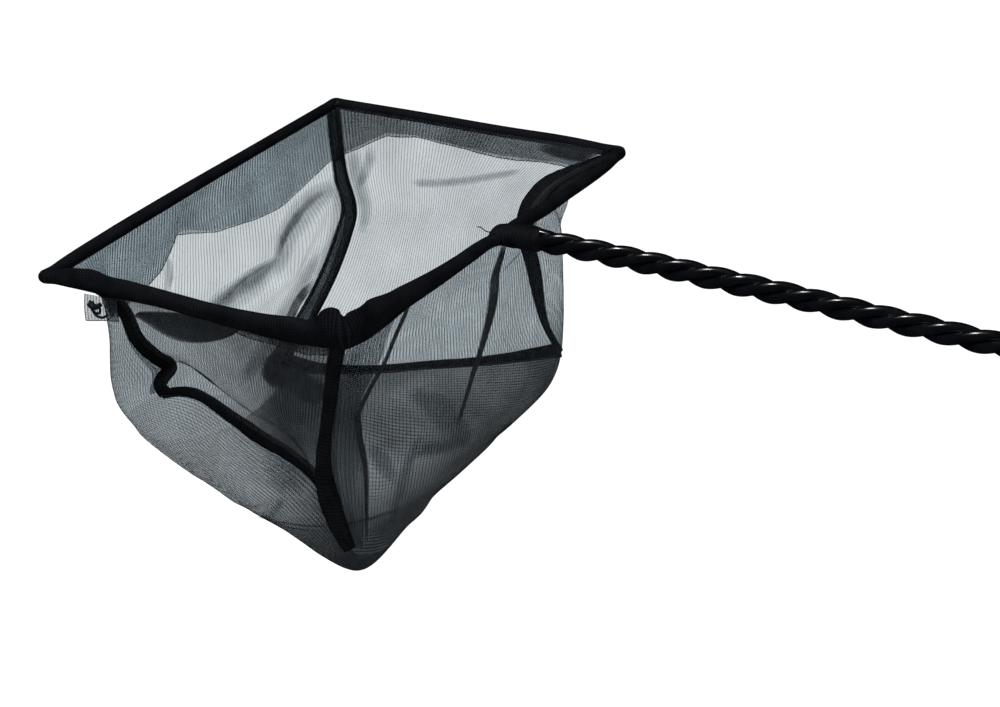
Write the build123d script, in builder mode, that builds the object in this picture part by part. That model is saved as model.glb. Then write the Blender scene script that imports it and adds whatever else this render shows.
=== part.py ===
from build123d import *
import math
import os

# Aquarium fish net: a rectangular coated-wire frame with a twisted-wire handle
# and a hanging bag of fine knitted mesh. Millimetres, +Z up.
# The rim lies level. The handle leaves the middle of the rim's handle side
# along +X, and the frame's origin is where a hand holds the handle.

# ---------------------------------------------------------------- dimensions
rim_x = 97.0            # rim, along the handle (wire centre to wire centre)
rim_y = 127.0           # rim, across the handle
corner_r = 2.8          # bend radius of the rim's corners
wire_d = 2.75           # over the plastic jacket
core_d = 1.8            # steel core
core_gap = 0.02         # between core and jacket
handle_drop = 2.4       # degrees, the handle slopes down away from the rim
handle_yaw = -1.1       # degrees, the handle leans to the left side
throat_bend_r = 5.0     # bend from the rim into the handle
throat_len = 9.0        # rim to the start of the twist
twist_len = 219.0
twist_turns = 23 / 3    # the three strands change places by two thirds of a turn
lay_r = 1.645           # strand centres from the twist's axis
grip_at = 180.0         # rim to the middle of the hand's grip, along the handle
loop_len = 30.0         # hang loop, along the handle
loop_half_w = 8.5       # hang loop, wire centre from the handle's axis
ferrule_len = 12.0
ferrule_d = 2.70

hem_clear = 0.08        # hem casing over the wire
hem_t = 0.5             # thickness of the folded hem
hem_depth = 11.0        # turned-in hem allowance below the wire
hem_end = 8.0           # hem stops this far from the handle's axis
cloth_t = 0.7           # stand-in thickness of one mesh layer
flap_t = 0.5            # stand-in thickness of the turned-in hem
depth_handle = 68.0     # bag depth at the handle side
depth_tip = 50.0        # bag depth at the tip side
taper_handle = 0.13     # inward lean of each wall, per mm of depth
taper_tip = 0.25
taper_left = 0.09
taper_right = 0.22
wall_top = 2.8          # walls start this far below the wire's centre
floor_clear = 0.45      # between the bag floor and the walls
seam_w = 4.0            # seam allowance
seam_t = 0.6
thread_r = 0.2
tab_w = 12.0            # loose end of mesh under the left hem
tab_h = 8.0
tab_t = 0.5
tab_x0 = -34.5          # its left edge, from the rim's centre

# ------------------------------------------------------------ derived values
a, b = rim_x / 2, rim_y / 2
r_wire, r_core = wire_d / 2, core_d / 2
half_pair = lay_r * math.cos(math.radians(30))
lay_up = lay_r * math.sin(math.radians(30))
r_hem_in = r_wire + hem_clear
r_hem_out = r_hem_in + hem_t
drop, yaw = math.radians(handle_drop), math.radians(handle_yaw)
h = Vector(math.cos(drop) * math.cos(yaw), math.cos(drop) * math.sin(yaw), -math.sin(drop))
n = Vector(-math.sin(yaw), math.cos(yaw), 0)
grip = Vector(a, 0, 0) + h * grip_at
up = h.cross(n)
twist_pitch = twist_len / twist_turns


def at(x, y, z):
    """A point given from the rim's centre, in the part's frame."""
    return Vector(x, y, z) - grip


throat0 = at(a, 0, 0)
throat = throat0 + h * throat_len
handle_end = throat + h * twist_len
os.makedirs("parts", exist_ok=True)


def keep(part, label):
    part.label = label
    export_step(part, "parts/" + label + ".step")


# ------------------------------------------------------ wire: rim, both halves
def rim_points(side, start):
    """Route of one half of the rim wire: side -1 is the left half, +1 the right."""
    return [
        at(-a, side * start, 0),
        at(-a, side * b, 0),
        at(a, side * b, 0),
        throat0 + n * (side * half_pair),
        throat + n * (side * half_pair),
    ]


bend_radii = [corner_r, corner_r, throat_bend_r]

with BuildPart() as frame_core_left:
    with BuildLine() as route:
        FilletPolyline(*rim_points(-1, 0.1), radius=bend_radii)
    with BuildSketch(Plane(origin=route.line @ 0, z_dir=route.line % 0)):
        Circle(r_core)
    sweep(path=route.line)
keep(frame_core_left.part, "frame_core_left")

with BuildPart() as frame_core_right:
    with BuildLine() as route:
        FilletPolyline(*rim_points(1, 0.1), radius=bend_radii)
    with BuildSketch(Plane(origin=route.line @ 0, z_dir=route.line % 0)):
        Circle(r_core)
    sweep(path=route.line)
keep(frame_core_right.part, "frame_core_right")

with BuildPart() as frame_jacket_left:
    with BuildLine() as route:
        FilletPolyline(*rim_points(-1, ferrule_len / 2 + 0.1), radius=bend_radii)
    with BuildSketch(Plane(origin=route.line @ 0, z_dir=route.line % 0)):
        Circle(r_wire)
        Circle(r_core + core_gap, mode=Mode.SUBTRACT)
    sweep(path=route.line)
keep(frame_jacket_left.part, "frame_jacket_left")

with BuildPart() as frame_jacket_right:
    with BuildLine() as route:
        FilletPolyline(*rim_points(1, ferrule_len / 2 + 0.1), radius=bend_radii)
    with BuildSketch(Plane(origin=route.line @ 0, z_dir=route.line % 0)):
        Circle(r_wire)
        Circle(r_core + core_gap, mode=Mode.SUBTRACT)
    sweep(path=route.line)
keep(frame_jacket_right.part, "frame_jacket_right")

# The two wire ends meet in the middle of the tip side, in a crimped sleeve.
with BuildPart() as butt_ferrule:
    with BuildSketch(Plane(origin=at(-a, -ferrule_len / 2, 0), z_dir=(0, 1, 0))):
        Circle(ferrule_d / 2)
        Circle(r_core + core_gap, mode=Mode.SUBTRACT)
    extrude(amount=ferrule_len)
    chamfer(butt_ferrule.edges().filter_by(GeomType.CIRCLE).sort_by(SortBy.RADIUS)[-2:], 0.2)
keep(butt_ferrule.part, "butt_ferrule")

# ----------------------------------------------------- wire: twisted handle
over = 2.0              # each strand is swept past both ends, then cut square


def strand_plane(angle):
    start = n.rotate(Axis((0, 0, 0), h), angle + over / twist_pitch * 360)
    return Plane(origin=throat + up * lay_up - h * over, x_dir=start, z_dir=h)


# Strands 1 and 2 run on from the two sides of the rim, with the third lying on top of them.
# The twist is left-handed. A helix has no start angle of its own, so each is made upright
# and laid along the handle.
strand_route_1 = strand_plane(-30) * Helix(twist_pitch, twist_len + 2 * over, lay_r, lefthand=True)
strand_route_2 = strand_plane(210) * Helix(twist_pitch, twist_len + 2 * over, lay_r, lefthand=True)
strand_route_3 = strand_plane(90) * Helix(twist_pitch, twist_len + 2 * over, lay_r, lefthand=True)


with BuildPart() as handle_strand_1:
    with BuildLine() as route:
        add(strand_route_1)
    with BuildSketch(Plane(origin=strand_route_1 @ 0, z_dir=strand_route_1 % 0)):
        Circle(r_wire)
        Circle(r_core + core_gap, mode=Mode.SUBTRACT)
    sweep(path=route.line, is_frenet=True)
    split(bisect_by=Plane(origin=throat, z_dir=h), keep=Keep.TOP)
    split(bisect_by=Plane(origin=handle_end, z_dir=h), keep=Keep.BOTTOM)
keep(handle_strand_1.part, "handle_strand_1")

with BuildPart() as handle_strand_2:
    with BuildLine() as route:
        add(strand_route_2)
    with BuildSketch(Plane(origin=strand_route_2 @ 0, z_dir=strand_route_2 % 0)):
        Circle(r_wire)
        Circle(r_core + core_gap, mode=Mode.SUBTRACT)
    sweep(path=route.line, is_frenet=True)
    split(bisect_by=Plane(origin=throat, z_dir=h), keep=Keep.TOP)
    split(bisect_by=Plane(origin=handle_end, z_dir=h), keep=Keep.BOTTOM)
keep(handle_strand_2.part, "handle_strand_2")

with BuildPart() as handle_strand_3:
    with BuildLine() as route:
        add(strand_route_3)
    with BuildSketch(Plane(origin=strand_route_3 @ 0, z_dir=strand_route_3 % 0)):
        Circle(r_wire)
        Circle(r_core + core_gap, mode=Mode.SUBTRACT)
    sweep(path=route.line, is_frenet=True)
    split(bisect_by=Plane(origin=throat, z_dir=h), keep=Keep.TOP)
    split(bisect_by=Plane(origin=handle_end, z_dir=h), keep=Keep.BOTTOM)
keep(handle_strand_3.part, "handle_strand_3")

with BuildPart() as handle_core_1:
    with BuildLine() as route:
        add(strand_route_1)
    with BuildSketch(Plane(origin=strand_route_1 @ 0, z_dir=strand_route_1 % 0)):
        Circle(r_core)
    sweep(path=route.line, is_frenet=True)
    split(bisect_by=Plane(origin=throat, z_dir=h), keep=Keep.TOP)
    split(bisect_by=Plane(origin=handle_end, z_dir=h), keep=Keep.BOTTOM)
keep(handle_core_1.part, "handle_core_1")

with BuildPart() as handle_core_2:
    with BuildLine() as route:
        add(strand_route_2)
    with BuildSketch(Plane(origin=strand_route_2 @ 0, z_dir=strand_route_2 % 0)):
        Circle(r_core)
    sweep(path=route.line, is_frenet=True)
    split(bisect_by=Plane(origin=throat, z_dir=h), keep=Keep.TOP)
    split(bisect_by=Plane(origin=handle_end, z_dir=h), keep=Keep.BOTTOM)
keep(handle_core_2.part, "handle_core_2")

with BuildPart() as handle_core_3:
    with BuildLine() as route:
        add(strand_route_3)
    with BuildSketch(Plane(origin=strand_route_3 @ 0, z_dir=strand_route_3 % 0)):
        Circle(r_core)
    sweep(path=route.line, is_frenet=True)
    split(bisect_by=Plane(origin=throat, z_dir=h), keep=Keep.TOP)
    split(bisect_by=Plane(origin=handle_end, z_dir=h), keep=Keep.BOTTOM)
keep(handle_core_3.part, "handle_core_3")

# -------------------------------------------------------- wire: hang loop
# One bend of the same wire joins strands 2 and 3 at the handle's end; strand 1 stops there.
loop_plane = Plane(origin=handle_end, x_dir=h, z_dir=h.cross(n))
loop_points = [
    (0, -half_pair),
    (4.5, -half_pair),
    (13.0, -loop_half_w),
    (loop_len - r_wire, -loop_half_w),
    (loop_len - r_wire, loop_half_w),
    (13.0, loop_half_w),
    (4.5, half_pair),
    (0, half_pair),
]
loop_radii = [6.0, 9.0, loop_half_w - 0.1, loop_half_w - 0.1, 9.0, 6.0]

with BuildPart() as hang_loop:
    with BuildLine(loop_plane) as route:
        FilletPolyline(*loop_points, radius=loop_radii)
    with BuildSketch(Plane(origin=route.line @ 0, z_dir=route.line % 0)):
        Circle(r_wire)
        Circle(r_core + core_gap, mode=Mode.SUBTRACT)
    sweep(path=route.line)
keep(hang_loop.part, "hang_loop")

with BuildPart() as loop_core:
    with BuildLine(loop_plane) as route:
        FilletPolyline(*loop_points, radius=loop_radii)
    with BuildSketch(Plane(origin=route.line @ 0, z_dir=route.line % 0)):
        Circle(r_core)
    sweep(path=route.line)
keep(loop_core.part, "loop_core")


# ------------------------------------------------------------- bag: planes
# Each wall hangs from its rim line and leans inward. In its plane, X runs along
# the rim and Y up the wall; the plane's normal points out of the bag.
def lean(taper, sign, axis):
    nrm = math.hypot(1, taper)
    out = (sign / nrm, 0, -taper / nrm) if axis == "x" else (0, sign / nrm, -taper / nrm)
    return out


wall_planes = {
    "handle": Plane(origin=at(a, 0, 0), x_dir=(0, 1, 0), z_dir=lean(taper_handle, 1, "x")),
    "tip": Plane(origin=at(-a, 0, 0), x_dir=(0, -1, 0), z_dir=lean(taper_tip, -1, "x")),
    "left": Plane(origin=at(0, -b, 0), x_dir=(1, 0, 0), z_dir=lean(taper_left, -1, "y")),
    "right": Plane(origin=at(0, b, 0), x_dir=(-1, 0, 0), z_dir=lean(taper_right, 1, "y")),
}


def x_handle(z, inset=0.0):
    return a + taper_handle * z - inset


def x_tip(z, inset=0.0):
    return -a - taper_tip * z + inset


def y_left(z, inset=0.0):
    return -b - taper_left * z + inset


def y_right(z, inset=0.0):
    return b + taper_right * z - inset


def z_floor(x):
    """Height of the floor's middle plane above a point of the rim's X axis."""
    x1, x2 = x_handle(-depth_handle), x_tip(-depth_tip)
    return -depth_handle + (x - x1) / (x2 - x1) * (depth_handle - depth_tip)


def local(side, x, y, z):
    p = wall_planes[side].to_local_coords(at(x, y, z))
    return (p.X, p.Y)


# ------------------------------------------------------------- bag: four walls
edge = cloth_t / 2 + 0.2     # inset that keeps neighbouring walls apart
low = 0.8                    # walls reach a little below the floor

z0, z1 = -wall_top, -depth_handle - low
with BuildPart() as wall_handle:
    with BuildSketch(wall_planes["handle"]):
        with BuildLine():
            Polyline(
                local("handle", x_handle(z0), y_left(z0, edge), z0),
                local("handle", x_handle(z0), y_right(z0, edge), z0),
                local("handle", x_handle(z1), y_right(z1, edge), z1),
                local("handle", x_handle(z1), y_left(z1, edge), z1),
                close=True,
            )
        make_face()
    extrude(amount=cloth_t / 2, both=True)
keep(wall_handle.part, "wall_handle")

z0, z1 = -wall_top, -depth_tip - low
with BuildPart() as wall_tip:
    with BuildSketch(wall_planes["tip"]):
        with BuildLine():
            Polyline(
                local("tip", x_tip(z0), y_left(z0, edge), z0),
                local("tip", x_tip(z0), y_right(z0, edge), z0),
                local("tip", x_tip(z1), y_right(z1, edge), z1),
                local("tip", x_tip(z1), y_left(z1, edge), z1),
                close=True,
            )
        make_face()
    extrude(amount=cloth_t / 2, both=True)
keep(wall_tip.part, "wall_tip")


def panel_outline(side, y_of):
    z0, zh, zt = -wall_top, -depth_handle - low, -depth_tip - low
    return [
        local(side, x_tip(z0, -cloth_t / 2), y_of(z0), z0),
        local(side, x_handle(z0, -cloth_t / 2), y_of(z0), z0),
        local(side, x_handle(zh, -cloth_t / 2), y_of(zh), zh),
        local(side, x_tip(zt, -cloth_t / 2), y_of(zt), zt),
    ]


with BuildPart() as panel_left:
    with BuildSketch(wall_planes["left"]):
        with BuildLine():
            Polyline(*panel_outline("left", y_left), close=True)
        make_face()
    extrude(amount=cloth_t / 2, both=True)
keep(panel_left.part, "panel_left")

with BuildPart() as panel_right:
    with BuildSketch(wall_planes["right"]):
        with BuildLine():
            Polyline(*panel_outline("right", y_right), close=True)
        make_face()
    extrude(amount=cloth_t / 2, both=True)
keep(panel_right.part, "panel_right")

# ------------------------------------------------------------- bag: floor
# The floor slopes up from the handle side to the tip side, clear of all walls.
fx1, fx2 = x_handle(-depth_handle), x_tip(-depth_tip)
slope = Vector(fx1 - fx2, 0, depth_tip - depth_handle).normalized()
floor_plane = Plane(origin=at(fx2, 0, -depth_tip), x_dir=slope, z_dir=Vector(0, -1, 0).cross(slope) * -1)
if floor_plane.z_dir.Z < 0:
    floor_plane = Plane(origin=at(fx2, 0, -depth_tip), x_dir=slope, z_dir=floor_plane.z_dir * -1)
fin = cloth_t + floor_clear


def floor_local(x, y):
    p = floor_plane.to_local_coords(at(x, y, z_floor(x)))
    return (p.X, p.Y)


gx1, gx2 = fx1 - fin, fx2 + fin
with BuildPart() as bag_floor:
    with BuildSketch(floor_plane):
        with BuildLine():
            Polyline(
                floor_local(gx2, y_left(z_floor(gx2), fin)),
                floor_local(gx1, y_left(z_floor(gx1), fin)),
                floor_local(gx1, y_right(z_floor(gx1), fin)),
                floor_local(gx2, y_right(z_floor(gx2), fin)),
                close=True,
            )
        make_face()
    extrude(amount=cloth_t / 2, both=True)
keep(bag_floor.part, "bag_floor")


def bottom_seam_points(y_of, sign):
    s1, s2 = gx1 - 2.0, gx2 + 2.0
    return [
        floor_local(s2, y_of(z_floor(s2), fin + 0.6)),
        floor_local(s1, y_of(z_floor(s1), fin + 0.6)),
        floor_local(s1, y_of(z_floor(s1), fin + 0.6 + seam_w)),
        floor_local(s2, y_of(z_floor(s2), fin + 0.6 + seam_w)),
    ]


seam_drop = cloth_t / 2 + 0.05
with BuildPart() as seam_left_bottom:
    with BuildSketch(floor_plane.offset(-seam_drop)):
        with BuildLine():
            Polyline(*bottom_seam_points(y_left, 1), close=True)
        make_face()
    extrude(amount=-seam_t)
keep(seam_left_bottom.part, "seam_left_bottom")

with BuildPart() as seam_right_bottom:
    with BuildSketch(floor_plane.offset(-seam_drop)):
        with BuildLine():
            Polyline(*bottom_seam_points(y_right, -1), close=True)
        make_face()
    extrude(amount=-seam_t)
keep(seam_right_bottom.part, "seam_right_bottom")


# ------------------------------------------------------ bag: corner seams
def seam_outline(side, y_of, x_of, depth):
    z0, z1 = -wall_top - 2.2, -depth + 2.0
    return [
        local(side, x_of(z0, 0.4), y_of(z0), z0),
        local(side, x_of(z0, 0.4 + seam_w), y_of(z0), z0),
        local(side, x_of(z1, 0.4 + seam_w), y_of(z1), z1),
        local(side, x_of(z1, 0.4), y_of(z1), z1),
    ]


seam_out = cloth_t / 2 + 0.1
with BuildPart() as seam_left_handle:
    with BuildSketch(wall_planes["left"].offset(seam_out)):
        with BuildLine():
            Polyline(*seam_outline("left", y_left, x_handle, depth_handle), close=True)
        make_face()
    extrude(amount=seam_t)
keep(seam_left_handle.part, "seam_left_handle")

with BuildPart() as seam_left_tip:
    with BuildSketch(wall_planes["left"].offset(seam_out)):
        with BuildLine():
            Polyline(*seam_outline("left", y_left, x_tip, depth_tip), close=True)
        make_face()
    extrude(amount=seam_t)
keep(seam_left_tip.part, "seam_left_tip")

with BuildPart() as seam_right_handle:
    with BuildSketch(wall_planes["right"].offset(seam_out)):
        with BuildLine():
            Polyline(*seam_outline("right", y_right, x_handle, depth_handle), close=True)
        make_face()
    extrude(amount=seam_t)
keep(seam_right_handle.part, "seam_right_handle")

with BuildPart() as seam_right_tip:
    with BuildSketch(wall_planes["right"].offset(seam_out)):
        with BuildLine():
            Polyline(*seam_outline("right", y_right, x_tip, depth_tip), close=True)
        make_face()
    extrude(amount=seam_t)
keep(seam_right_tip.part, "seam_right_tip")

# ------------------------------------------------------------------ hems
# Each hem is a tube of mesh round the wire with its turned-in edge hanging
# inside the wall.
flap_in = cloth_t / 2 + 0.15 + flap_t
straight = corner_r + 1.0


def flap_points(side, x_a, x_b):
    return [(x_a, -0.9 * r_hem_out), (x_b, -0.9 * r_hem_out), (x_b, -hem_depth), (x_a, -hem_depth)]


with BuildPart() as hem_tip:
    with BuildLine() as route:
        FilletPolyline(
            at(-a + straight, -b, 0), at(-a, -b, 0), at(-a, b, 0), at(-a + straight, b, 0),
            radius=[corner_r, corner_r],
        )
    with BuildSketch(Plane(origin=route.line @ 0, z_dir=route.line % 0)):
        Circle(r_hem_out)
        Circle(r_hem_in, mode=Mode.SUBTRACT)
    sweep(path=route.line)
    with BuildSketch(wall_planes["tip"].offset(-flap_in)):
        with BuildLine():
            Polyline(*flap_points("tip", -b + 7, b - 7), close=True)
        make_face()
    extrude(amount=flap_t)
keep(hem_tip.part, "hem_tip")

with BuildPart() as hem_left:
    with BuildLine() as route:
        Line(at(-a + straight, -b, 0), at(a - straight, -b, 0))
    with BuildSketch(Plane(origin=route.line @ 0, z_dir=route.line % 0)):
        Circle(r_hem_out)
        Circle(r_hem_in, mode=Mode.SUBTRACT)
    sweep(path=route.line)
    with BuildSketch(wall_planes["left"].offset(-flap_in)):
        with BuildLine():
            Polyline(*flap_points("left", -a + 7, a - 7), close=True)
        make_face()
    extrude(amount=flap_t)
keep(hem_left.part, "hem_left")

with BuildPart() as hem_right:
    with BuildLine() as route:
        Line(at(-a + straight, b, 0), at(a - straight, b, 0))
    with BuildSketch(Plane(origin=route.line @ 0, z_dir=route.line % 0)):
        Circle(r_hem_out)
        Circle(r_hem_in, mode=Mode.SUBTRACT)
    sweep(path=route.line)
    with BuildSketch(wall_planes["right"].offset(-flap_in)):
        with BuildLine():
            Polyline(*flap_points("right", -a + 7, a - 7), close=True)
        make_face()
    extrude(amount=flap_t)
keep(hem_right.part, "hem_right")

with BuildPart() as hem_handle_left:
    with BuildLine() as route:
        FilletPolyline(
            at(a - straight, -b, 0), at(a, -b, 0), at(a, -hem_end, 0), radius=[corner_r]
        )
    with BuildSketch(Plane(origin=route.line @ 0, z_dir=route.line % 0)):
        Circle(r_hem_out)
        Circle(r_hem_in, mode=Mode.SUBTRACT)
    sweep(path=route.line)
    with BuildSketch(wall_planes["handle"].offset(-flap_in)):
        with BuildLine():
            Polyline(*flap_points("handle", -b + 7, -hem_end - 0.5), close=True)
        make_face()
    extrude(amount=flap_t)
keep(hem_handle_left.part, "hem_handle_left")

with BuildPart() as hem_handle_right:
    with BuildLine() as route:
        FilletPolyline(
            at(a - straight, b, 0), at(a, b, 0), at(a, hem_end, 0), radius=[corner_r]
        )
    with BuildSketch(Plane(origin=route.line @ 0, z_dir=route.line % 0)):
        Circle(r_hem_out)
        Circle(r_hem_in, mode=Mode.SUBTRACT)
    sweep(path=route.line)
    with BuildSketch(wall_planes["handle"].offset(-flap_in)):
        with BuildLine():
            Polyline(*flap_points("handle", hem_end + 0.5, b - 7), close=True)
        make_face()
    extrude(amount=flap_t)
keep(hem_handle_right.part, "hem_handle_right")

# ---------------------------------------------------------------- threads
stitch_out = cloth_t / 2 + 0.05 + thread_r


def rod_plane(side, p0, p1, out):
    """Plane across a thread from p0 to p1, both in a wall's plane, lifted outward."""
    pl = wall_planes[side].offset(out)
    s = pl.from_local_coords(Vector(p0[0], p0[1], 0))
    e = pl.from_local_coords(Vector(p1[0], p1[1], 0))
    return Plane(origin=s, z_dir=e - s), (e - s).length


hem_lines = [
    ("tip", (-b + 6, -wall_top - 0.8), (b - 6, -wall_top - 0.8)),
    ("left", (-a + 6, -wall_top - 0.8), (a - 6, -wall_top - 0.8)),
    ("right", (-a + 6, -wall_top - 0.8), (a - 6, -wall_top - 0.8)),
    ("handle", (-b + 6, -wall_top - 0.8), (b - 6, -wall_top - 0.8)),
]
with BuildPart() as hem_thread:
    for side, p0, p1 in hem_lines:
        pl, length = rod_plane(side, p0, p1, stitch_out)
        with BuildSketch(pl):
            Circle(thread_r)
        extrude(amount=length)
keep(hem_thread.part, "hem_thread")


def seam_line(side, y_of, x_of, depth):
    z0, z1 = -wall_top - 2.8, -depth + 2.6
    mid = 0.4 + seam_w / 2
    return (side, local(side, x_of(z0, mid), y_of(z0), z0), local(side, x_of(z1, mid), y_of(z1), z1))


corner_lines = [
    seam_line("left", y_left, x_handle, depth_handle),
    seam_line("left", y_left, x_tip, depth_tip),
    seam_line("right", y_right, x_handle, depth_handle),
    seam_line("right", y_right, x_tip, depth_tip),
]
with BuildPart() as corner_seam_thread:
    for side, p0, p1 in corner_lines:
        pl, length = rod_plane(side, p0, p1, seam_out + seam_t + 0.05 + thread_r)
        with BuildSketch(pl):
            Circle(thread_r)
        extrude(amount=length)
keep(corner_seam_thread.part, "corner_seam_thread")

with BuildPart() as bottom_seam_thread:
    for y_of in (y_left, y_right):
        s1, s2 = gx1 - 3.0, gx2 + 3.0
        mid = fin + 0.6 + seam_w / 2
        low_plane = floor_plane.offset(-(seam_drop + seam_t + 0.05 + thread_r))
        q0, q1 = floor_local(s2, y_of(z_floor(s2), mid)), floor_local(s1, y_of(z_floor(s1), mid))
        p0 = low_plane.from_local_coords(Vector(q0[0], q0[1], 0))
        p1 = low_plane.from_local_coords(Vector(q1[0], q1[1], 0))
        with BuildSketch(Plane(origin=p0, z_dir=p1 - p0)):
            Circle(thread_r)
        extrude(amount=(p1 - p0).length)
keep(bottom_seam_thread.part, "bottom_seam_thread")

# Turns of thread that close the hem's ends on the wire, either side of the throat.
tack_r = r_wire + thread_r + 0.02
with BuildPart() as throat_tack:
    for side in (-1, 1):
        for k in range(3):
            y = side * (hem_end - 0.3 - 0.45 * k)
            with BuildSketch(Plane(origin=at(a, y, 0), x_dir=(1, 0, 0), z_dir=(0, 0, 1))):
                with Locations((tack_r, 0)):
                    Circle(thread_r)
            revolve(axis=Axis(at(a, y, 0), (0, 1, 0)), revolution_arc=360)
keep(throat_tack.part, "throat_tack")

# ------------------------------------------------------- loose end of mesh
# A square end of hem cloth hangs on its sewn edge, outside the left hem.
tab_y = -b - 1.7
tab_z = -2.5
with BuildPart() as hem_tab:
    with BuildSketch(Plane(origin=at(tab_x0, tab_y, tab_z), x_dir=(1, 0, 0), z_dir=(0, -1, 0))):
        with BuildLine():
            Polyline((0, 0), (tab_w, 0), (tab_w, -tab_h), (0, -tab_h), close=True)
        make_face()
    extrude(amount=tab_t / 2, both=True)
keep(hem_tab.part, "hem_tab")

with BuildPart() as tab_knot:
    knot = Plane(origin=at(tab_x0 + 4.3, tab_y - tab_t / 2 - 0.35, tab_z - 3.0), x_dir=(1, 0, 0), z_dir=(0, -1, 0))
    with BuildSketch(Plane(origin=knot.origin, x_dir=(1, 0, 0), z_dir=(0, 0, 1))):
        with Locations((1.5, 0)):
            Circle(0.3)
    revolve(axis=Axis(knot.origin, (0, -1, 0)), revolution_arc=360)
keep(tab_knot.part, "tab_knot")

print("grip", grip, "rim centre", at(0, 0, 0), "throat", throat, "handle end", handle_end)
print("tab hinge", at(tab_x0 + tab_w / 2, tab_y, tab_z))
print("loop centre", loop_plane.from_local_coords(Vector(loop_len - r_wire - loop_half_w - 1.0, 0, 0)))
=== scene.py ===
import math

import bpy
import numpy as np
from mathutils import Matrix, Vector


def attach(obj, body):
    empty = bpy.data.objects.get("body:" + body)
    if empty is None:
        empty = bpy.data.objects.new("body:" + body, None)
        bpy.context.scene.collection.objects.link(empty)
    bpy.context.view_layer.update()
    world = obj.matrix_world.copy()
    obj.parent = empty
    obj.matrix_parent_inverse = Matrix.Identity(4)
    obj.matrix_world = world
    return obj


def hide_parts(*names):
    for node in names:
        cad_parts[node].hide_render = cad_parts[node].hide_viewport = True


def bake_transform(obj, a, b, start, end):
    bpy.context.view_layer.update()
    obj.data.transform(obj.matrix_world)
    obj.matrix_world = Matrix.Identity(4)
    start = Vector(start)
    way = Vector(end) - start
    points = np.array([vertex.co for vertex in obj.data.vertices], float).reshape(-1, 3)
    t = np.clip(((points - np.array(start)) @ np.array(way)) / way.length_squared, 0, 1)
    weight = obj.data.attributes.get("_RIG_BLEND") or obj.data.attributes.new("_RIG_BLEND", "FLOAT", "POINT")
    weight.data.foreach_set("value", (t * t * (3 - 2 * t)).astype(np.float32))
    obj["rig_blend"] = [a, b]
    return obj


# Aquarium fish net: a coated-wire rim and twisted handle with a bag of fine knitted netting.
# All shapes are worked out in millimetres from the middle of the rim, and moved to the
# frame's own place and to metres when a mesh is made.
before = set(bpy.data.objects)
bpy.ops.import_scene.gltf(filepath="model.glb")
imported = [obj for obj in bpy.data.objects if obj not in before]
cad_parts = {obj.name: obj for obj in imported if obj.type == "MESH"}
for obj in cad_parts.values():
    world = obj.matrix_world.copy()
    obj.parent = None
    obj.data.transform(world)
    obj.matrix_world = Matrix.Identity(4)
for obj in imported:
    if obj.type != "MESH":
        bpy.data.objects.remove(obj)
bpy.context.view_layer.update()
RIM = np.array([-228.309, 3.45251, 7.53762])
rng = np.random.default_rng(11)


def placed(P):
    return (np.asarray(P, float) + RIM) * 0.001


# ------------------------------------------------------------ curves and surfaces
def hermite(tk, P, t):
    """Smooth curve through the points P at parameters tk, read at t."""
    tk, P, t = np.asarray(tk, float), np.asarray(P, float), np.asarray(t, float)
    hh = np.diff(tk)
    sh = (-1,) + (1,) * (P.ndim - 1)
    d = np.diff(P, axis=0) / hh.reshape(sh)
    m = np.empty_like(P)
    if len(tk) > 2:
        m[1:-1] = (d[:-1] * hh[1:].reshape(sh) + d[1:] * hh[:-1].reshape(sh)) / (hh[:-1] + hh[1:]).reshape(sh)
        m[0] = 1.5 * d[0] - 0.5 * m[1]
        m[-1] = 1.5 * d[-1] - 0.5 * m[-2]
    else:
        m[:] = d[0]
    i = np.clip(np.searchsorted(tk, t, side="right") - 1, 0, len(tk) - 2)
    x = ((t - tk[i]) / hh[i]).reshape(sh)
    h = hh[i].reshape(sh)
    return (
        P[i] * (2 * x**3 - 3 * x**2 + 1)
        + m[i] * h * (x**3 - 2 * x**2 + x)
        + P[i + 1] * (-2 * x**3 + 3 * x**2)
        + m[i + 1] * h * (x**3 - x**2)
    )


def lengths(P):
    return np.concatenate([[0.0], np.cumsum(np.linalg.norm(np.diff(P, axis=0), axis=1))])


def evenly(P, n):
    """n points evenly spaced along a polyline."""
    s = lengths(P)
    t = np.linspace(0, s[-1], n)
    return np.stack([np.interp(t, s, P[:, k]) for k in range(P.shape[1])], 1)


def through(P, n):
    """A smooth curve through a few points, as n even points."""
    P = np.asarray(P, float)
    s = np.concatenate([[0.0], np.cumsum(np.linalg.norm(np.diff(P, axis=0), axis=1) ** 0.75)])
    return evenly(hermite(s, P, np.linspace(0, s[-1], max(200, 3 * n))), n)


def smooth01(x):
    x = np.clip(x, 0.0, 1.0)
    return x * x * (3 - 2 * x)


def unit(v):
    return v / np.maximum(np.linalg.norm(v, axis=-1, keepdims=True), 1e-12)


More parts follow.
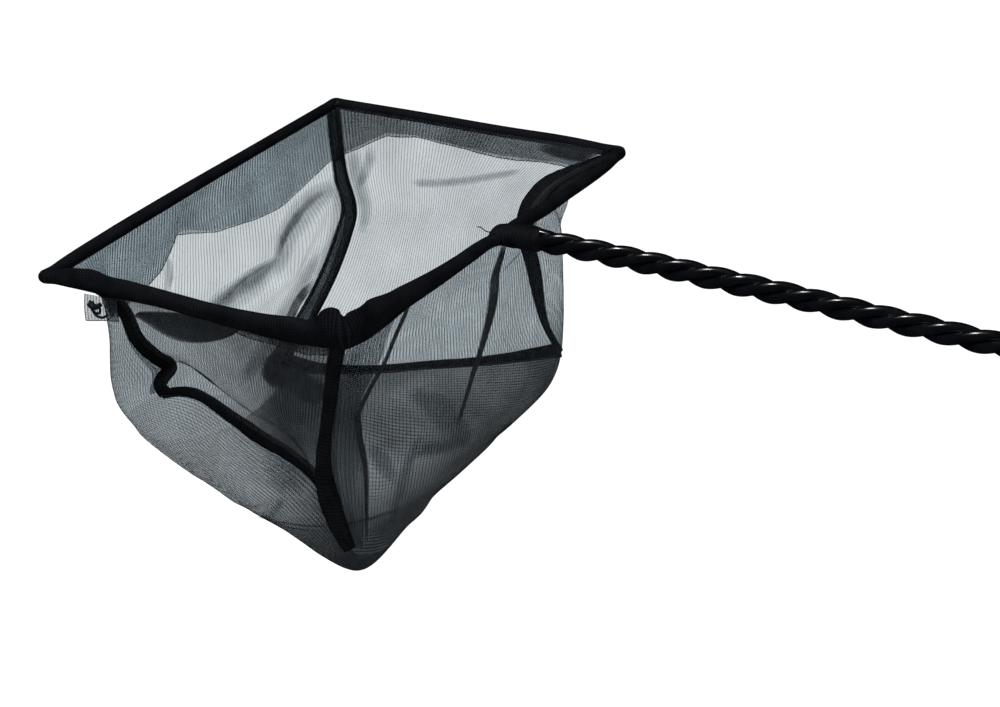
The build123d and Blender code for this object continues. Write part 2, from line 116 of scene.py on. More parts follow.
# ---------------------------------------------------------------- the bag's strip
# One length of netting makes the handle wall, the floor and the tip wall. Stations run
# from the handle side of the rim down, across the bottom and up to the tip side, each
# from the left seam to the right seam. Millimetres from the middle of the rim.
STATIONS = np.array([
    [(48.3, -62, -0.6), (48.3, -41, -0.6), (48.4, -21, -0.6), (48.5, 0, -0.6), (48.4, 18.5, -0.6), (48.3, 36.5, -0.6), (48.3, 62, -0.6)],
    [(42, -61.5, -12), (46, -41, -13), (48.5, -21, -13.5), (49.2, 0, -14), (48.4, 18.5, -13.5), (46.5, 36, -12.3), (32.5, 48, -9.5)],
    [(38, -61, -30), (44, -42, -31), (47, -21, -32), (47.5, -1, -32), (47, 18.5, -31), (45.6, 35.6, -30), (33, 41, -30)],
    [(34.5, -61, -50), (42, -44, -50), (45.5, -23, -51), (46, -4, -51), (46, 14.5, -50), (45.2, 31.6, -49), (35.5, 41, -49)],
    [(38, -60.4, -65), (41, -52.5, -71.0), (42.8, -29, -64.6), (43.6, -8, -61.8), (44, 10, -60), (43.6, 27, -58), (37, 43, -55)],
    [(12, -55, -42), (13, -61.0, -60.0), (13.5, -54.2, -66.4), (14, -37, -73.4), (15, -10, -69.5), (16, 16, -64), (17, 35.5, -58.5)],
    [(-12, -48, -38.7), (-12, -56, -49.5), (-11, -50, -63.4), (-10, -31, -68.0), (-10, -9, -67), (-10, 10, -63.5), (-10, 26, -61)],
    [(-36.6, -40, -43.5), (-42.3, -49.6, -46.6), (-38.6, -43.6, -56.0), (-34.5, -27, -62.0), (-34, -11, -63.5), (-34.5, 2, -61.5), (-38.3, 12, -57.6)],
    [(-39.5, -36, -37), (-48.8, -47.3, -40), (-48.3, -36, -45.5), (-47, -16, -47.5), (-45.5, 5, -47), (-43.5, 23, -46.5), (-40.5, 38, -46.5)],
    [(-41.3, -43.3, -23.5), (-48.6, -45.0, -27), (-48.8, -29, -28), (-47.5, -8, -28), (-46.5, 14, -28), (-44.5, 36, -29), (-41, 55.5, -30)],
    [(-44, -52, -11), (-48, -44, -12), (-48.3, -24, -12.5), (-48.3, -4, -12.5), (-48, 17, -12.5), (-47, 38, -12.5), (-45, 59, -12)],
    [(-48.3, -62, -0.6), (-48.3, -41, -0.6), (-48.3, -21, -0.6), (-48.3, 0, -0.6), (-48.3, 21, -0.6), (-48.3, 41, -0.6), (-48.3, 62, -0.6)],
], float)
# The strip's two long edges are the seams: (station, point).
LEFT_EDGE = [
    (0, (45, -60, -0.6)), (1.5, (39, -60.9, -21.8)), (2.75, (34, -61.5, -45)), (3.6, (36, -60.8, -59.2)), (4, (38, -60.4, -64.8)),
    (4.25, (35.5, -61, -57)), (4.55, (33, -61.5, -47)), (4.85, (19.7, -57, -42.8)), (5.15, (9.1, -54, -41.9)), (5.7, (-5.4, -50, -39.4)),
    (6.25, (-18.5, -46, -37.9)), (7, (-36.6, -40, -43.5)), (7.3, (-38, -39.9, -41.5)), (7.7, (-39, -33.9, -38.6)), (8.2, (-40, -37.7, -34)),
    (8.8, (-41, -42.7, -26)), (9.4, (-42, -44, -18.5)), (11, (-47, -62, -0.6)),
]
RIGHT_EDGE = [
    (0, (47, 62, -0.6)), (0.35, (40.5, 56.5, -3.9)), (1, (32.5, 48, -9.5)), (1.4, (30.8, 42.2, -15.0)), (2, (32.6, 40.6, -29.9)), (3, (35, 40.9, -48.1)),
    (4, (37, 42.9, -54.8)), (4.3, (32.4, 40, -55.3)), (5, (18.1, 36, -58.2)), (5.6, (1.3, 30, -59.9)), (6.4, (-20.2, 22, -61.6)),
    (6.8, (-31.3, 15, -59.6)), (7, (-38.3, 12, -57.6)), (7.75, (-40, 33, -49.5)), (8.2, (-40.5, 42.7, -43.6)), (8.7, (-40.5, 52.1, -34.6)),
    (9, (-41, 56.3, -29.9)), (9.8, (-43, 56.9, -16.1)), (11, (-47, 62, -0.6)),
]
STATION_T = np.concatenate([[0.0], np.cumsum(np.linalg.norm(np.diff(STATIONS, axis=0), axis=2).mean(1))])
NT, NX = 421, 181
GRID_T = np.linspace(0, STATION_T[-1], NT)
GRID_X = np.linspace(0, 1, NX)


def station_t(k):
    return np.interp(k, np.arange(len(STATIONS)), STATION_T)


def edge_curve(points):
    """A seam, read at every row of the grid. The corners at the bag's bottom are sharp."""
    k = np.array([p[0] for p in points], float)
    P = np.array([p[1] for p in points], float)
    out = np.empty((NT, 3))
    for lo, hi in ((0, 4), (4, 7), (7, 11)):
        use = (k >= lo) & (k <= hi)
        s = np.concatenate([[0.0], np.cumsum(np.linalg.norm(np.diff(P[use], axis=0), axis=1))])
        kk = np.interp(GRID_T, STATION_T, np.arange(len(STATIONS)))
        rows = (kk >= lo - 1e-9) & (kk <= hi + 1e-9)
        out[rows] = hermite(s, P[use], np.interp(kk[rows], k[use], s))
    return out


def make_strip():
    across = hermite(np.linspace(0, 1, 7), STATIONS.transpose(1, 0, 2), GRID_X).transpose(1, 0, 2)
    S = hermite(STATION_T, across, GRID_T)
    left, right = edge_curve(LEFT_EDGE), edge_curve(RIGHT_EDGE)
    wl = (np.clip(1 - GRID_X / 0.20, 0, 1) ** 2)[None, :, None]
    wr = (np.clip(1 - (1 - GRID_X) / 0.20, 0, 1) ** 2)[None, :, None]
    S = S + wl * (left - S[:, 0])[:, None] + wr * (right - S[:, -1])[:, None]
    free = smooth01(np.minimum(GRID_X, 1 - GRID_X) / 0.16)[None, :, None]
    rows = np.arange(NT)
    free = free * smooth01(np.minimum(rows, NT - 1 - rows) / 40.0)[:, None, None]
    for _ in range(160):
        soft = S.copy()
        soft[1:-1] = 0.25 * S[:-2] + 0.5 * S[1:-1] + 0.25 * S[2:]
        S = S + free * (soft - S)
    # by the right-hand corner of the handle side, the wall turns in right under the hem
    q = np.clip(GRID_T / (1.25 * STATION_T[1]), 0, 1)[:, None]
    tuck = 6.75 * q * (1 - q) ** 2 * (1 - wr[..., 0])
    S[..., 0] -= 7.0 * tuck * smooth01((S[..., 1] - 33.0) / 8.0)
    return S, left, right


def normals_of(S):
    return unit(np.cross(np.gradient(S, axis=0), np.gradient(S, axis=1)))


def coons(top, bottom, first, last, n_p, n_q):
    """A patch between four edges: top and bottom run first side to last side."""
    top, bottom = evenly(top, n_p), evenly(bottom, n_p)
    first, last = evenly(first, n_q), evenly(last, n_q)
    p = np.linspace(0, 1, n_p)[None, :, None]
    q = np.linspace(0, 1, n_q)[:, None, None]
    ruled = (1 - q) * top[None] + q * bottom[None] + (1 - p) * first[:, None] + p * last[:, None]
    corner = (
        (1 - p) * (1 - q) * top[0] + p * (1 - q) * top[-1] + (1 - p) * q * bottom[0] + p * q * bottom[-1]
    )
    return ruled - corner


STRIP, SEAM_L, SEAM_R = make_strip()
I4, I7 = int(np.argmin(abs(GRID_T - station_t(4)))), int(np.argmin(abs(GRID_T - station_t(7))))


def make_panel(seam, sign):
    """A side panel of the bag, hung from the rim between two corner seams."""
    first, last = seam[: I4 + 1], seam[I7:][::-1]
    bottom = seam[I4 : I7 + 1]
    x = np.linspace(seam[0, 0], seam[-1, 0], 61)
    top = np.stack([x, np.full(61, sign * 63.0), np.full(61, -0.6)], 1)
    end = np.linspace(0, 1, 61)
    for e, w in ((seam[0], np.clip(1 - end / 0.08, 0, 1)), (seam[-1], np.clip(1 - (1 - end) / 0.08, 0, 1))):
        top[:, 1] += w * (e[1] - sign * 63.0)
    return coons(top, bottom, first, last, 121, 91)


PANEL_L = make_panel(SEAM_L, -1)
PANEL_R = make_panel(SEAM_R, 1)

# The rim isn't quite flat: it sags along two sides, is lifted at the far corner, and its handle
# side bows out to the handle. Offsets along each side, in mm, fading with depth below the rim.
SIDES = {
    "left": ([-48.5, -38, -24, -13, 3, 15, 24, 40, 48.5], [-0.5, -0.2, -0.2, -0.4, -1.3, -1.7, -1.7, -0.9, -0.4], [0] * 9),
    "right": ([-48.5, -40, -18, 10, 36, 48.5], [1.9, 1.65, 1.05, 0.05, -0.6, -1.6], [0, 0, 0, 0, 0.2, 0.6]),
    "tip": ([-63.5, -43, -9, 27, 63.5], [-0.5, 0.4, 1.2, 1.6, 1.9], [0] * 5),
    "handle": (
        [-63.5, -57, -48, -38, -28, -18, -8, 0, 8, 22, 32, 43, 56, 63.5],
        [-0.4, -0.4, -0.35, -0.3, -0.2, -0.1, 0, 0, -0.3, -0.9, -1.2, -1.5, -1.7, -1.6],
        [0, 0.4, 1.0, 1.9, 2.9, 3.4, 3.4, 3.6, 3.7, 3.9, 3.4, 3.0, 1.9, 0.6],
    ),
}


def rim_warp(P, fade=13.0):
    """Moves points near the level rim to where the bent rim has them."""
    P = np.array(P, float)
    x, y, z = P[..., 0], P[..., 1], P[..., 2]
    gap = {"left": y + 63.5, "right": y - 63.5, "tip": x + 48.5, "handle": x - 48.5}
    total, dx, dz = 0.0, 0.0, 0.0
    for name, (at, up, out) in SIDES.items():
        along = x if name in ("left", "right") else y
        w = 1.0 / (gap[name] ** 2 + 1.0)
        q = np.clip(along, at[0], at[-1]).ravel()
        total = total + w
        dz = dz + w * hermite(at, up, q).reshape(x.shape)
        dx = dx + w * hermite(at, out, q).reshape(x.shape)
    keep = (1 - smooth01((-z - 1.0) / fade)) * (1 - smooth01((x - 48.5) / 9.0)) / total
    P[..., 0] += keep * dx
    P[..., 2] += keep * dz
    return P


STRIP, SEAM_L, SEAM_R = rim_warp(STRIP), rim_warp(SEAM_L), rim_warp(SEAM_R)
PANEL_L, PANEL_R = rim_warp(PANEL_L), rim_warp(PANEL_R)


# ------------------------------------------------------------ mesh builders
def noise1(x, seed, octaves=4):
    """Smooth noise of one variable, about -1 to 1, the same each run."""
    r = np.random.default_rng(seed)
    out = np.zeros_like(np.asarray(x, float))
    for k in range(octaves):
        out += np.sin(x * (0.11 * 1.9**k) * r.uniform(0.8, 1.2) + r.uniform(0, 6.3)) * 0.6**k
    return out / 1.7


def noise2(x, y, seed, octaves=5):
    r = np.random.default_rng(seed)
    out = np.zeros(np.broadcast(x, y).shape)
    for k in range(octaves):
        a = r.uniform(0, 6.3)
        f = 0.06 * 1.7**k
        out += np.sin((x * math.cos(a) + y * math.sin(a)) * f * 2 + r.uniform(0, 6.3)) * 0.62**k
    return out / 1.9


def path_frames(P, up=None):
    """Tangent and two side directions along a path. With up, the first side leans to it."""
    T = unit(np.gradient(P, axis=0))
    if up is not None:
        up = np.broadcast_to(np.asarray(up, float), P.shape)
        U = unit(up - (up * T).sum(1, keepdims=True) * T)
        return T, U, np.cross(T, U)
    U = np.empty_like(P)
    seed = np.array([0.0, 0.0, 1.0]) if abs(T[0, 2]) < 0.8 else np.array([1.0, 0.0, 0.0])
    u = unit(seed - (seed @ T[0]) * T[0])
    for i in range(len(P)):
        u = u - (u @ T[i]) * T[i]
        u = u / max(np.linalg.norm(u), 1e-9)
        U[i] = u
    return T, U, np.cross(T, U)


def tube(P, radius, sides=12, up=None, flat=1.0, cap=True, turn=0.0):
    """A tube along P. radius may vary along it; flat is its height over its width."""
    n = len(P)
    T, U, W = path_frames(P, up)
    r = np.broadcast_to(np.asarray(radius, float), (n,))
    f = np.broadcast_to(np.asarray(flat, float), (n,))
    a = np.linspace(0, 2 * math.pi, sides, endpoint=False) + turn
    V = (
        P[:, None]
        + (np.sin(a)[None, :, None] * (r * f)[:, None, None]) * U[:, None]
        + (np.cos(a)[None, :, None] * r[:, None, None]) * W[:, None]
    ).reshape(-1, 3)
    i, j = np.meshgrid(np.arange(n - 1), np.arange(sides), indexing="ij")
    k = (j + 1) % sides
    F = np.stack([i * sides + j, (i + 1) * sides + j, (i + 1) * sides + k, i * sides + k], -1).reshape(-1, 4)
    s = lengths(P)
    UVc = np.stack(
        [
            np.stack([s[i], j * (2 * math.pi * r[i] / sides)], -1),
            np.stack([s[i + 1], j * (2 * math.pi * r[i] / sides)], -1),
            np.stack([s[i + 1], (j + 1) * (2 * math.pi * r[i] / sides)], -1),
            np.stack([s[i], (j + 1) * (2 * math.pi * r[i] / sides)], -1),
        ],
        2,
    ).reshape(-1, 4, 2)
    faces = [F]
    uvs = [UVc]
    if cap:
        V = np.concatenate([V, P[:1] - T[:1] * r[0] * 0.12, P[-1:] + T[-1:] * r[-1] * 0.12])
        j = np.arange(sides)
        k = (j + 1) % sides
        first, last = n * sides, n * sides + 1
        caps = np.concatenate(
            [
                np.stack([np.full(sides, first), j, k], 1),
                np.stack([np.full(sides, last), (n - 1) * sides + k, (n - 1) * sides + j], 1),
            ]
        )
        return V, [F, caps], [UVc, np.zeros((2 * sides, 3, 2))]
    return V, faces, uvs


def join_parts(parts):
    """Several (V, faces, uvs) as one."""
    V, quads, tris, quv, tuv, at = [], [], [], [], [], 0
    for v, faces, uvs in parts:
        for f, uv in zip(faces, uvs):
            (quads if f.shape[1] == 4 else tris).append(f + at)
            (quv if f.shape[1] == 4 else tuv).append(uv)
        V.append(v)
        at += len(v)
    faces, uvs = [], []
    if quads:
        faces.append(np.concatenate(quads))
        uvs.append(np.concatenate(quv))
    if tris:
        faces.append(np.concatenate(tris))
        uvs.append(np.concatenate(tuv))
    return np.concatenate(V), faces, uvs


def mesh_object(name, part, material, smooth=True, woven=False):
    """A mesh from millimetres. Woven pieces also get their own even map of the cloth."""
    V, faces, uvs = part
    me = bpy.data.meshes.new(name)
    V = placed(V).astype(np.float32)
    me.vertices.add(len(V))
    me.vertices.foreach_set("co", V.ravel())
    loops = np.concatenate([f.ravel() for f in faces]).astype(np.int32)
    sizes = np.concatenate([np.full(len(f), f.shape[1], np.int32) for f in faces])
    me.loops.add(len(loops))
    me.loops.foreach_set("vertex_index", loops)
    me.polygons.add(len(sizes))
    me.polygons.foreach_set("loop_start", np.concatenate([[0], np.cumsum(sizes)[:-1]]).astype(np.int32))
    me.polygons.foreach_set("use_smooth", np.full(len(sizes), smooth))
    me.update(calc_edges=True)
    uv = np.concatenate([u.reshape(-1, 2) for u in uvs]).astype(np.float32)
    layer = me.uv_layers.new(name="cloth_mm")
    layer.uv.foreach_set("vector", uv.ravel())
    if woven:
        lo, hi = uv.min(0), uv.max(0)
        layer = me.uv_layers.new(name="OFBake")
        layer.uv.foreach_set("vector", (0.01 + 0.98 * (uv - lo) / (hi - lo)).astype(np.float32).ravel())
        me.uv_layers.active_index = 0
    me.validate()
    me.materials.append(material)
    o = bpy.data.objects.new(name, me)
    bpy.context.scene.collection.objects.link(o)
    return o


# One soft motion: the bag's bottom rises and everything between it and the rim follows.
LIFT_FROM, LIFT_TO = placed((0, 0, -3.0)), placed((0, 0, -62.0))


def on_frame(o, slot, *nodes):
    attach(o, "net_frame")
    if nodes:
        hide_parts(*nodes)
    return o


def on_bag(o, slot, *nodes):
    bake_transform(o, "net_frame", "bag_bottom", start=tuple(LIFT_FROM), end=tuple(LIFT_TO))
    if nodes:
        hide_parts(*nodes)
    return o


# Netting: a sheer knitted ground and, on it, thread by thread, the chain-stitched columns,
# thicker at every other course, with two fine cross threads in every cell between them.
WALE, COURSE = 1.20, 0.68


def netting(P, N, knot=0.048, neck=0.034, rise=0.075, bar=0.010, seed=1, loose=0.035):
    """P[course, column] are the stitches and N the normals there."""
    R, C = P.shape[:2]
    r = np.random.default_rng(seed)
    T = unit(np.gradient(P, axis=1))
    L = unit(np.gradient(P, axis=0))
    P = P + T * r.normal(0, loose, (R, C, 1)) + L * r.normal(0, loose * 0.8, (R, C, 1))
    size = r.normal(1.0, 0.10, (R, C, 1))
    # columns: each a three-sided thread
    odd = ((np.arange(R)[:, None] + np.arange(C)[None]) % 2)[..., None]
    half = np.where(odd, knot, neck) * size
    high = np.where(odd, rise, rise * 0.8) * size
    V = np.stack([P - T * half - N * high * 0.35, P + N * high * 0.65, P + T * half - N * high * 0.35], 2)
    idx = np.arange(R * C * 3).reshape(R, C, 3)
    F = np.concatenate(
        [
            np.stack([idx[:-1, :, k], idx[1:, :, k], idx[1:, :, m], idx[:-1, :, m]], -1).reshape(-1, 4)
            for k, m in ((0, 1), (1, 2), (2, 0))
        ]
    )
    uv = np.empty((R, C, 3, 2))
    uv[..., 0] = (np.arange(C) * WALE)[None, :, None] + np.array([-0.3, 0.0, 0.3])
    uv[..., 1] = (np.arange(R) * COURSE)[:, None, None]
    # cross threads: two flat strips from stitch to stitch, crossing in the cell
    p0, p1, q0, q1 = P[:-1, :-1], P[1:, :-1], P[:-1, 1:], P[1:, 1:]
    n0 = N[:-1, :-1]
    B = []
    for s, e, lift in ((p0, q1, 0.03), (p1, q0, -0.03)):
        side = unit(np.cross(n0, unit(e - s))) * (bar * r.normal(1.0, 0.12, (R - 1, C - 1, 1)))
        lift = n0 * lift
        B.append(np.stack([s - side + lift, s + side + lift, e - side + lift, e + side + lift], 2))
    B = np.stack(B, 2)
    jdx = np.arange((R - 1) * (C - 1) * 8).reshape(R - 1, C - 1, 2, 4) + R * C * 3
    G = jdx[..., [0, 2, 3, 1]].reshape(-1, 4)
    buv = np.empty((R - 1, C - 1, 2, 4, 2))
    buv[..., 0] = (np.arange(C - 1) * WALE)[None, :, None, None] + np.array([0.0, 0.0, WALE, WALE])
    buv[..., 1] = (np.arange(R - 1) * COURSE)[:, None, None, None] + np.array([-0.1, 0.1, -0.1, 0.1]) + COURSE / 2
    V = np.concatenate([V.reshape(-1, 3), B.reshape(-1, 3)])
    UV = np.concatenate([uv.reshape(-1, 2), buv.reshape(-1, 2)])
    F = np.concatenate([F, G])
    return V, [F], [UV[F]]


def ground(P, u, v):
    """A plain sheet through P[row, column], with its own map."""
    R, C = P.shape[:2]
    idx = np.arange(R * C).reshape(R, C)
    F = np.stack([idx[:-1, :-1], idx[1:, :-1], idx[1:, 1:], idx[:-1, 1:]], -1).reshape(-1, 4)
    UV = np.stack(np.broadcast_arrays(u, v), -1).reshape(-1, 2)
    return P.reshape(-1, 3), [F], [UV[F]]


def sampled(S, rows, cols):
    """Bilinear reading of a grid at fractional rows and columns."""
    i = np.clip(rows.astype(int), 0, S.shape[0] - 2)
    j = np.clip(cols.astype(int), 0, S.shape[1] - 2)
    a, b = (rows - i)[..., None], (cols - j)[..., None]
    return (
        S[i, j] * (1 - a) * (1 - b) + S[i + 1, j] * a * (1 - b) + S[i, j + 1] * (1 - a) * b + S[i + 1, j + 1] * a * b
    )


# ------------------------------------------------------------------- materials
class Nodes:
    def __init__(self, name):
        self.mat = bpy.data.materials.new(name)
        self.mat.use_nodes = True
        self.nt = self.mat.node_tree
        self.bsdf = next(n for n in self.nt.nodes if n.type == "BSDF_PRINCIPLED")

    def node(self, kind, **values):
        n = self.nt.nodes.new(kind)
        for k, v in values.items():
            setattr(n, k, v)
        return n

    def link(self, out, socket):
        self.nt.links.new(out, socket)

    def math(self, op, a, b=None, clamp=False):
        n = self.node("ShaderNodeMath", operation=op, use_clamp=clamp)
        for s, v in zip(n.inputs, (a, b)):
            if v is None:
                continue
            if isinstance(v, (int, float)):
                s.default_value = v
            else:
                self.link(v, s)
        return n.outputs[0]

    def coords(self, kind="Object"):
        return self.node("ShaderNodeTexCoord").outputs[kind]

    def cloth_uv(self):
        uv = self.node("ShaderNodeUVMap", uv_map="cloth_mm")
        sep = self.node("ShaderNodeSeparateXYZ")
        self.link(uv.outputs[0], sep.inputs[0])
        return uv.outputs[0], sep.outputs[0], sep.outputs[1]

    def noise(self, vector, scale, detail=3.0, rough=0.55):
        n = self.node("ShaderNodeTexNoise")
        n.inputs["Scale"].default_value = scale
        n.inputs["Detail"].default_value = detail
        n.inputs["Roughness"].default_value = rough
        self.link(vector, n.inputs["Vector"])
        return n.outputs["Fac"]

    def ramp(self, fac, stops):
        n = self.node("ShaderNodeValToRGB")
        el = n.color_ramp.elements
        while len(el) < len(stops):
            el.new(0.5)
        for e, (pos, col) in zip(el, stops):
            e.position = pos
            e.color = (*col, 1.0)
        self.link(fac, n.inputs[0])
        return n.outputs["Color"]

    def span(self, fac, lo, hi, a=0.0, b=1.0):
        n = self.node("ShaderNodeMapRange")
        n.clamp = True
        for k, v in zip(("From Min", "From Max", "To Min", "To Max"), (a, b, lo, hi)):
            n.inputs[k].default_value = v
        self.link(fac, n.inputs["Value"])
        return n.outputs["Result"]

    def bump(self, height, strength, distance):
        n = self.node("ShaderNodeBump")
        n.inputs["Strength"].default_value = strength
        n.inputs["Distance"].default_value = distance
        self.link(height, n.inputs["Height"])
        self.link(n.outputs[0], self.bsdf.inputs["Normal"])

    def put(self, **values):
        for k, v in values.items():
            s = self.bsdf.inputs[k.replace("_", " ")]
            if isinstance(v, (int, float, tuple)):
                s.default_value = v
            else:
                self.link(v, s)


def knit_height(m, wale, course):
    """Rounded columns with a knot at each course, from the cloth's own millimetres."""
    vec, u, v = m.cloth_uv()
    col = m.math("COSINE", m.math("MULTIPLY", u, 2 * math.pi / wale))
    lean = m.math("MULTIPLY", m.math("SINE", m.math("MULTIPLY", u, math.pi / wale)), 0.9)
    row = m.math("COSINE", m.math("ADD", m.math("MULTIPLY", v, 2 * math.pi / course), lean))
    both = m.math("ADD", m.math("MULTIPLY", col, 0.30), m.math("MULTIPLY", row, 0.20))
    return vec, m.math("ADD", both, 0.5, clamp=True)


def make_pvc():
    m = Nodes("black_pvc_coat")
    at = m.coords()
    broad, fine = m.noise(at, 180.0, 3.0), m.noise(at, 2600.0, 2.0)
    m.put(
        Base_Color=m.ramp(broad, [(0.25, (0.0012, 0.0015, 0.0022)), (0.75, (0.0032, 0.0036, 0.0048))]),
        Roughness=m.span(m.noise(at, 420.0, 4.0), 0.15, 0.25, 0.3, 0.7),
        Specular_IOR_Level=0.42,
        Coat_Weight=0.08,
        Coat_Roughness=0.10,
    )
    m.bump(m.math("ADD", m.math("MULTIPLY", fine, 0.35), broad), 0.16, 0.00012)
    return m.mat


def make_thread(name, low, high, rough, sheen):
    m = Nodes(name)
    at = m.coords()
    vec, u, v = m.cloth_uv()
    ply = m.math("SINE", m.math("MULTIPLY", m.math("ADD", u, v), 17.0))
    tone = m.math("ADD", m.noise(at, 240.0, 3.0), m.math("MULTIPLY", ply, 0.08))
    m.put(
        Base_Color=m.ramp(tone, [(0.25, low), (0.8, high)]),
        Roughness=m.span(m.noise(at, 900.0, 2.0), rough - 0.1, rough + 0.12, 0.3, 0.7),
        Specular_IOR_Level=0.16,
        Sheen_Weight=sheen,
        Sheen_Roughness=0.4,
    )
    m.bump(ply, 0.25, 0.00005)
    return m.mat


def make_knit(name, wale, course, dark, light, lo=0.45, hi=0.95, rough=0.72):
    """Doubled netting: the columns and knots are raised, the gaps between are dark."""
    m = Nodes(name)
    vec, height = knit_height(m, wale, course)
    at = m.coords()
    worn = m.noise(at, 150.0, 3.0)
    tone = m.math("MULTIPLY", height, m.span(worn, 0.55, 1.15, 0.3, 0.7))
    mid = tuple(0.5 * (a + b) for a, b in zip(dark, light))
    m.put(
        Base_Color=m.ramp(tone, [(lo - 0.25, dark), (lo + 0.2, mid), (hi, light)]),
        Roughness=m.span(m.noise(at, 700.0, 2.0), rough - 0.12, rough + 0.13, 0.3, 0.7),
        Specular_IOR_Level=0.07,
    )
    m.bump(height, 0.28, 0.00012)
    return m.mat


def make_metal(name, base, rough):
    m = Nodes(name)
    at = m.coords()
    n = m.noise(at, 900.0, 4.0)
    m.put(
        Base_Color=m.ramp(n, [(0.2, tuple(0.7 * c for c in base)), (0.8, base)]),
        Roughness=m.span(n, rough - 0.08, rough + 0.12, 0.3, 0.7),
        Metallic=1.0,
    )
    m.bump(m.noise(at, 4000.0, 2.0), 0.2, 0.00004)
    return m.mat


GAP = (0.905, 0.97, 1.0, 1.0)


def make_sheer(name, thin, thick, painted_shade=None, gap=GAP):
    """Sheer knit: dark fine threads with daylight between them, closer at the stitches.
    painted_shade raises the cover toward given far, front and low parts: painted shade seen through the net there."""
    m = Nodes(name)
    vec, height = knit_height(m, WALE, COURSE)
    at = m.coords()
    worn = m.noise(at, 70.0, 3.0)
    cover = m.math("ADD", m.span(height, thin, thick), m.span(worn, -0.05, 0.05, 0.3, 0.7))
    # painted shade: the cover rises with position toward the given far, front and low parts, darkening what shows
    # through the net there
    if painted_shade:
        sep = m.node("ShaderNodeSeparateXYZ")
        m.link(at, sep.inputs[0])
        x, y, z = sep.outputs
        y0, y1, more_y = painted_shade["far"]
        x0, x1, more_x = painted_shade["front"]
        far = m.span(y, 0.0, more_y, (y0 + RIM[1]) * 0.001, (y1 + RIM[1]) * 0.001)
        front = m.span(x, 0.0, more_x, (x0 + RIM[0]) * 0.001, (x1 + RIM[0]) * 0.001)
        z0, z1, more_z = painted_shade["low"]
        low = m.span(z, 0.0, more_z, (z0 + RIM[2]) * 0.001, (z1 + RIM[2]) * 0.001)
        cover = m.math("ADD", cover, m.math("MAXIMUM", m.math("MAXIMUM", far, front), low))
    return sheer_mix(m, m.math("MINIMUM", m.math("MAXIMUM", cover, 0.0), 0.97), gap)


def sheer_mix(m, cover, tint):
    """Tinted daylight through the gaps, mixed with the threads by their cover."""
    at = m.coords()
    m.put(
        Base_Color=m.ramp(m.noise(at, 500.0, 3.0), [(0.25, (0.0045, 0.0062, 0.0080)), (0.8, (0.0140, 0.0180, 0.0215))]),
        Roughness=m.span(m.noise(at, 900.0, 2.0), 0.55, 0.8, 0.3, 0.7),
        Specular_IOR_Level=0.15,
    )
    gap = m.node("ShaderNodeBsdfTransparent")
    gap.inputs["Color"].default_value = tint
    mix = m.node("ShaderNodeMixShader")
    m.link(cover, mix.inputs[0])
    m.link(gap.outputs[0], mix.inputs[1])
    m.link(m.bsdf.outputs[0], mix.inputs[2])
    out = next(n for n in m.nt.nodes if n.type == "OUTPUT_MATERIAL")
    m.link(mix.outputs[0], out.inputs["Surface"])
    return m.mat


def make_fold(name, most, steep):
    """Cloth pressed into a fold: many layers at its middle, fewer toward its two edges. Made faint and broad, it also
    paints shade along soft folds.
    """
    m = Nodes(name)
    vec, u, v = m.cloth_uv()
    edge = m.math("MULTIPLY", m.math("SUBTRACT", 1.0, m.math("MULTIPLY", u, u), clamp=True), steep, clamp=True)
    cover = m.math("MULTIPLY", edge, m.span(m.noise(m.coords(), 160.0, 3.0), most * 0.8, most * 1.1, 0.3, 0.7))
    return sheer_mix(m, m.math("MINIMUM", m.math("MULTIPLY", cover, v), 0.97), (0.96, 0.985, 1.0, 1.0))


PVC = make_pvc()
NET = make_thread("net_thread", (0.0050, 0.0064, 0.0085), (0.0150, 0.0185, 0.0225), 0.6, 0.04)
SEWING = make_thread("sewing_thread", (0.0016, 0.0020, 0.0028), (0.0056, 0.0068, 0.0088), 0.6, 0.0)
CASING = make_knit("hem_knit", 0.95, 0.56, (0.0008, 0.0014, 0.0026), (0.0058, 0.0074, 0.0098))
BAND = make_knit("seam_knit", 0.85, 0.55, (0.0009, 0.0014, 0.0022), (0.0048, 0.0062, 0.0080))
SHEER = make_sheer("sheer_net", 0.36, 0.53)
# The floor, left panel and handle wall nets carry painted shade: their cover rises toward given parts of each.
SHEER_LOW = make_sheer("sheer_net_low_painted_shade", 0.42, 0.60, {"far": (-24, -2, 0.34), "front": (2, 34, 0.42), "low": (-200, -300, 0.0)}, (0.93, 0.975, 1.0, 1.0))
SHEER_LEFT = make_sheer("sheer_net_left_painted_shade", 0.33, 0.54, {"far": (100, 200, 0.0), "front": (-20, 26, 0.42), "low": (-24, -7, 0.16)}, (0.92, 0.97, 1.0, 1.0))
SHEER_HANDLE = make_sheer("sheer_net_handle_painted_shade", 0.29, 0.48, {"far": (100, 200, 0.0), "front": (100, 200, 0.0), "low": (-34, -62, 0.30)})
SHEER_FLAP = make_sheer("sheer_net_flap", 0.20, 0.36)
SHEER_EDGE = make_sheer("sheer_net_doubled", 0.40, 0.62, None, (0.94, 0.98, 1.0, 1.0))
SHEER_ROLL = make_sheer("sheer_net_rolled", 0.60, 0.80, None, (0.95, 0.985, 1.0, 1.0))
FOLD = make_fold("net_fold", 0.93, 2.0)
# The soft kind: broad faint sheets along soft folds, partly their extra layers, partly painted shade.
FOLD_SOFT_SHADE = make_fold("net_fold_soft_shade", 0.46, 1.0)
FERRULE = make_metal("crimp_metal", (0.55, 0.55, 0.56), 0.32)


# ------------------------------------------------------------------------ wire
HALF_X, HALF_Y, WIRE_R, CORNER_R = 48.5, 63.5, 1.375, 2.8
HP = 1.4246
AX = np.array([0.998939, -0.019181, -0.041876])
NV = np.array([0.019197, 0.999816, 0.0])
UPV = np.cross(AX, NV)
THROAT0 = np.array([HALF_X, 0.0, 0.0])
THROAT = THROAT0 + AX * 9.0
TWIST_LEN = 219.0
HANDLE_END = THROAT + AX * TWIST_LEN


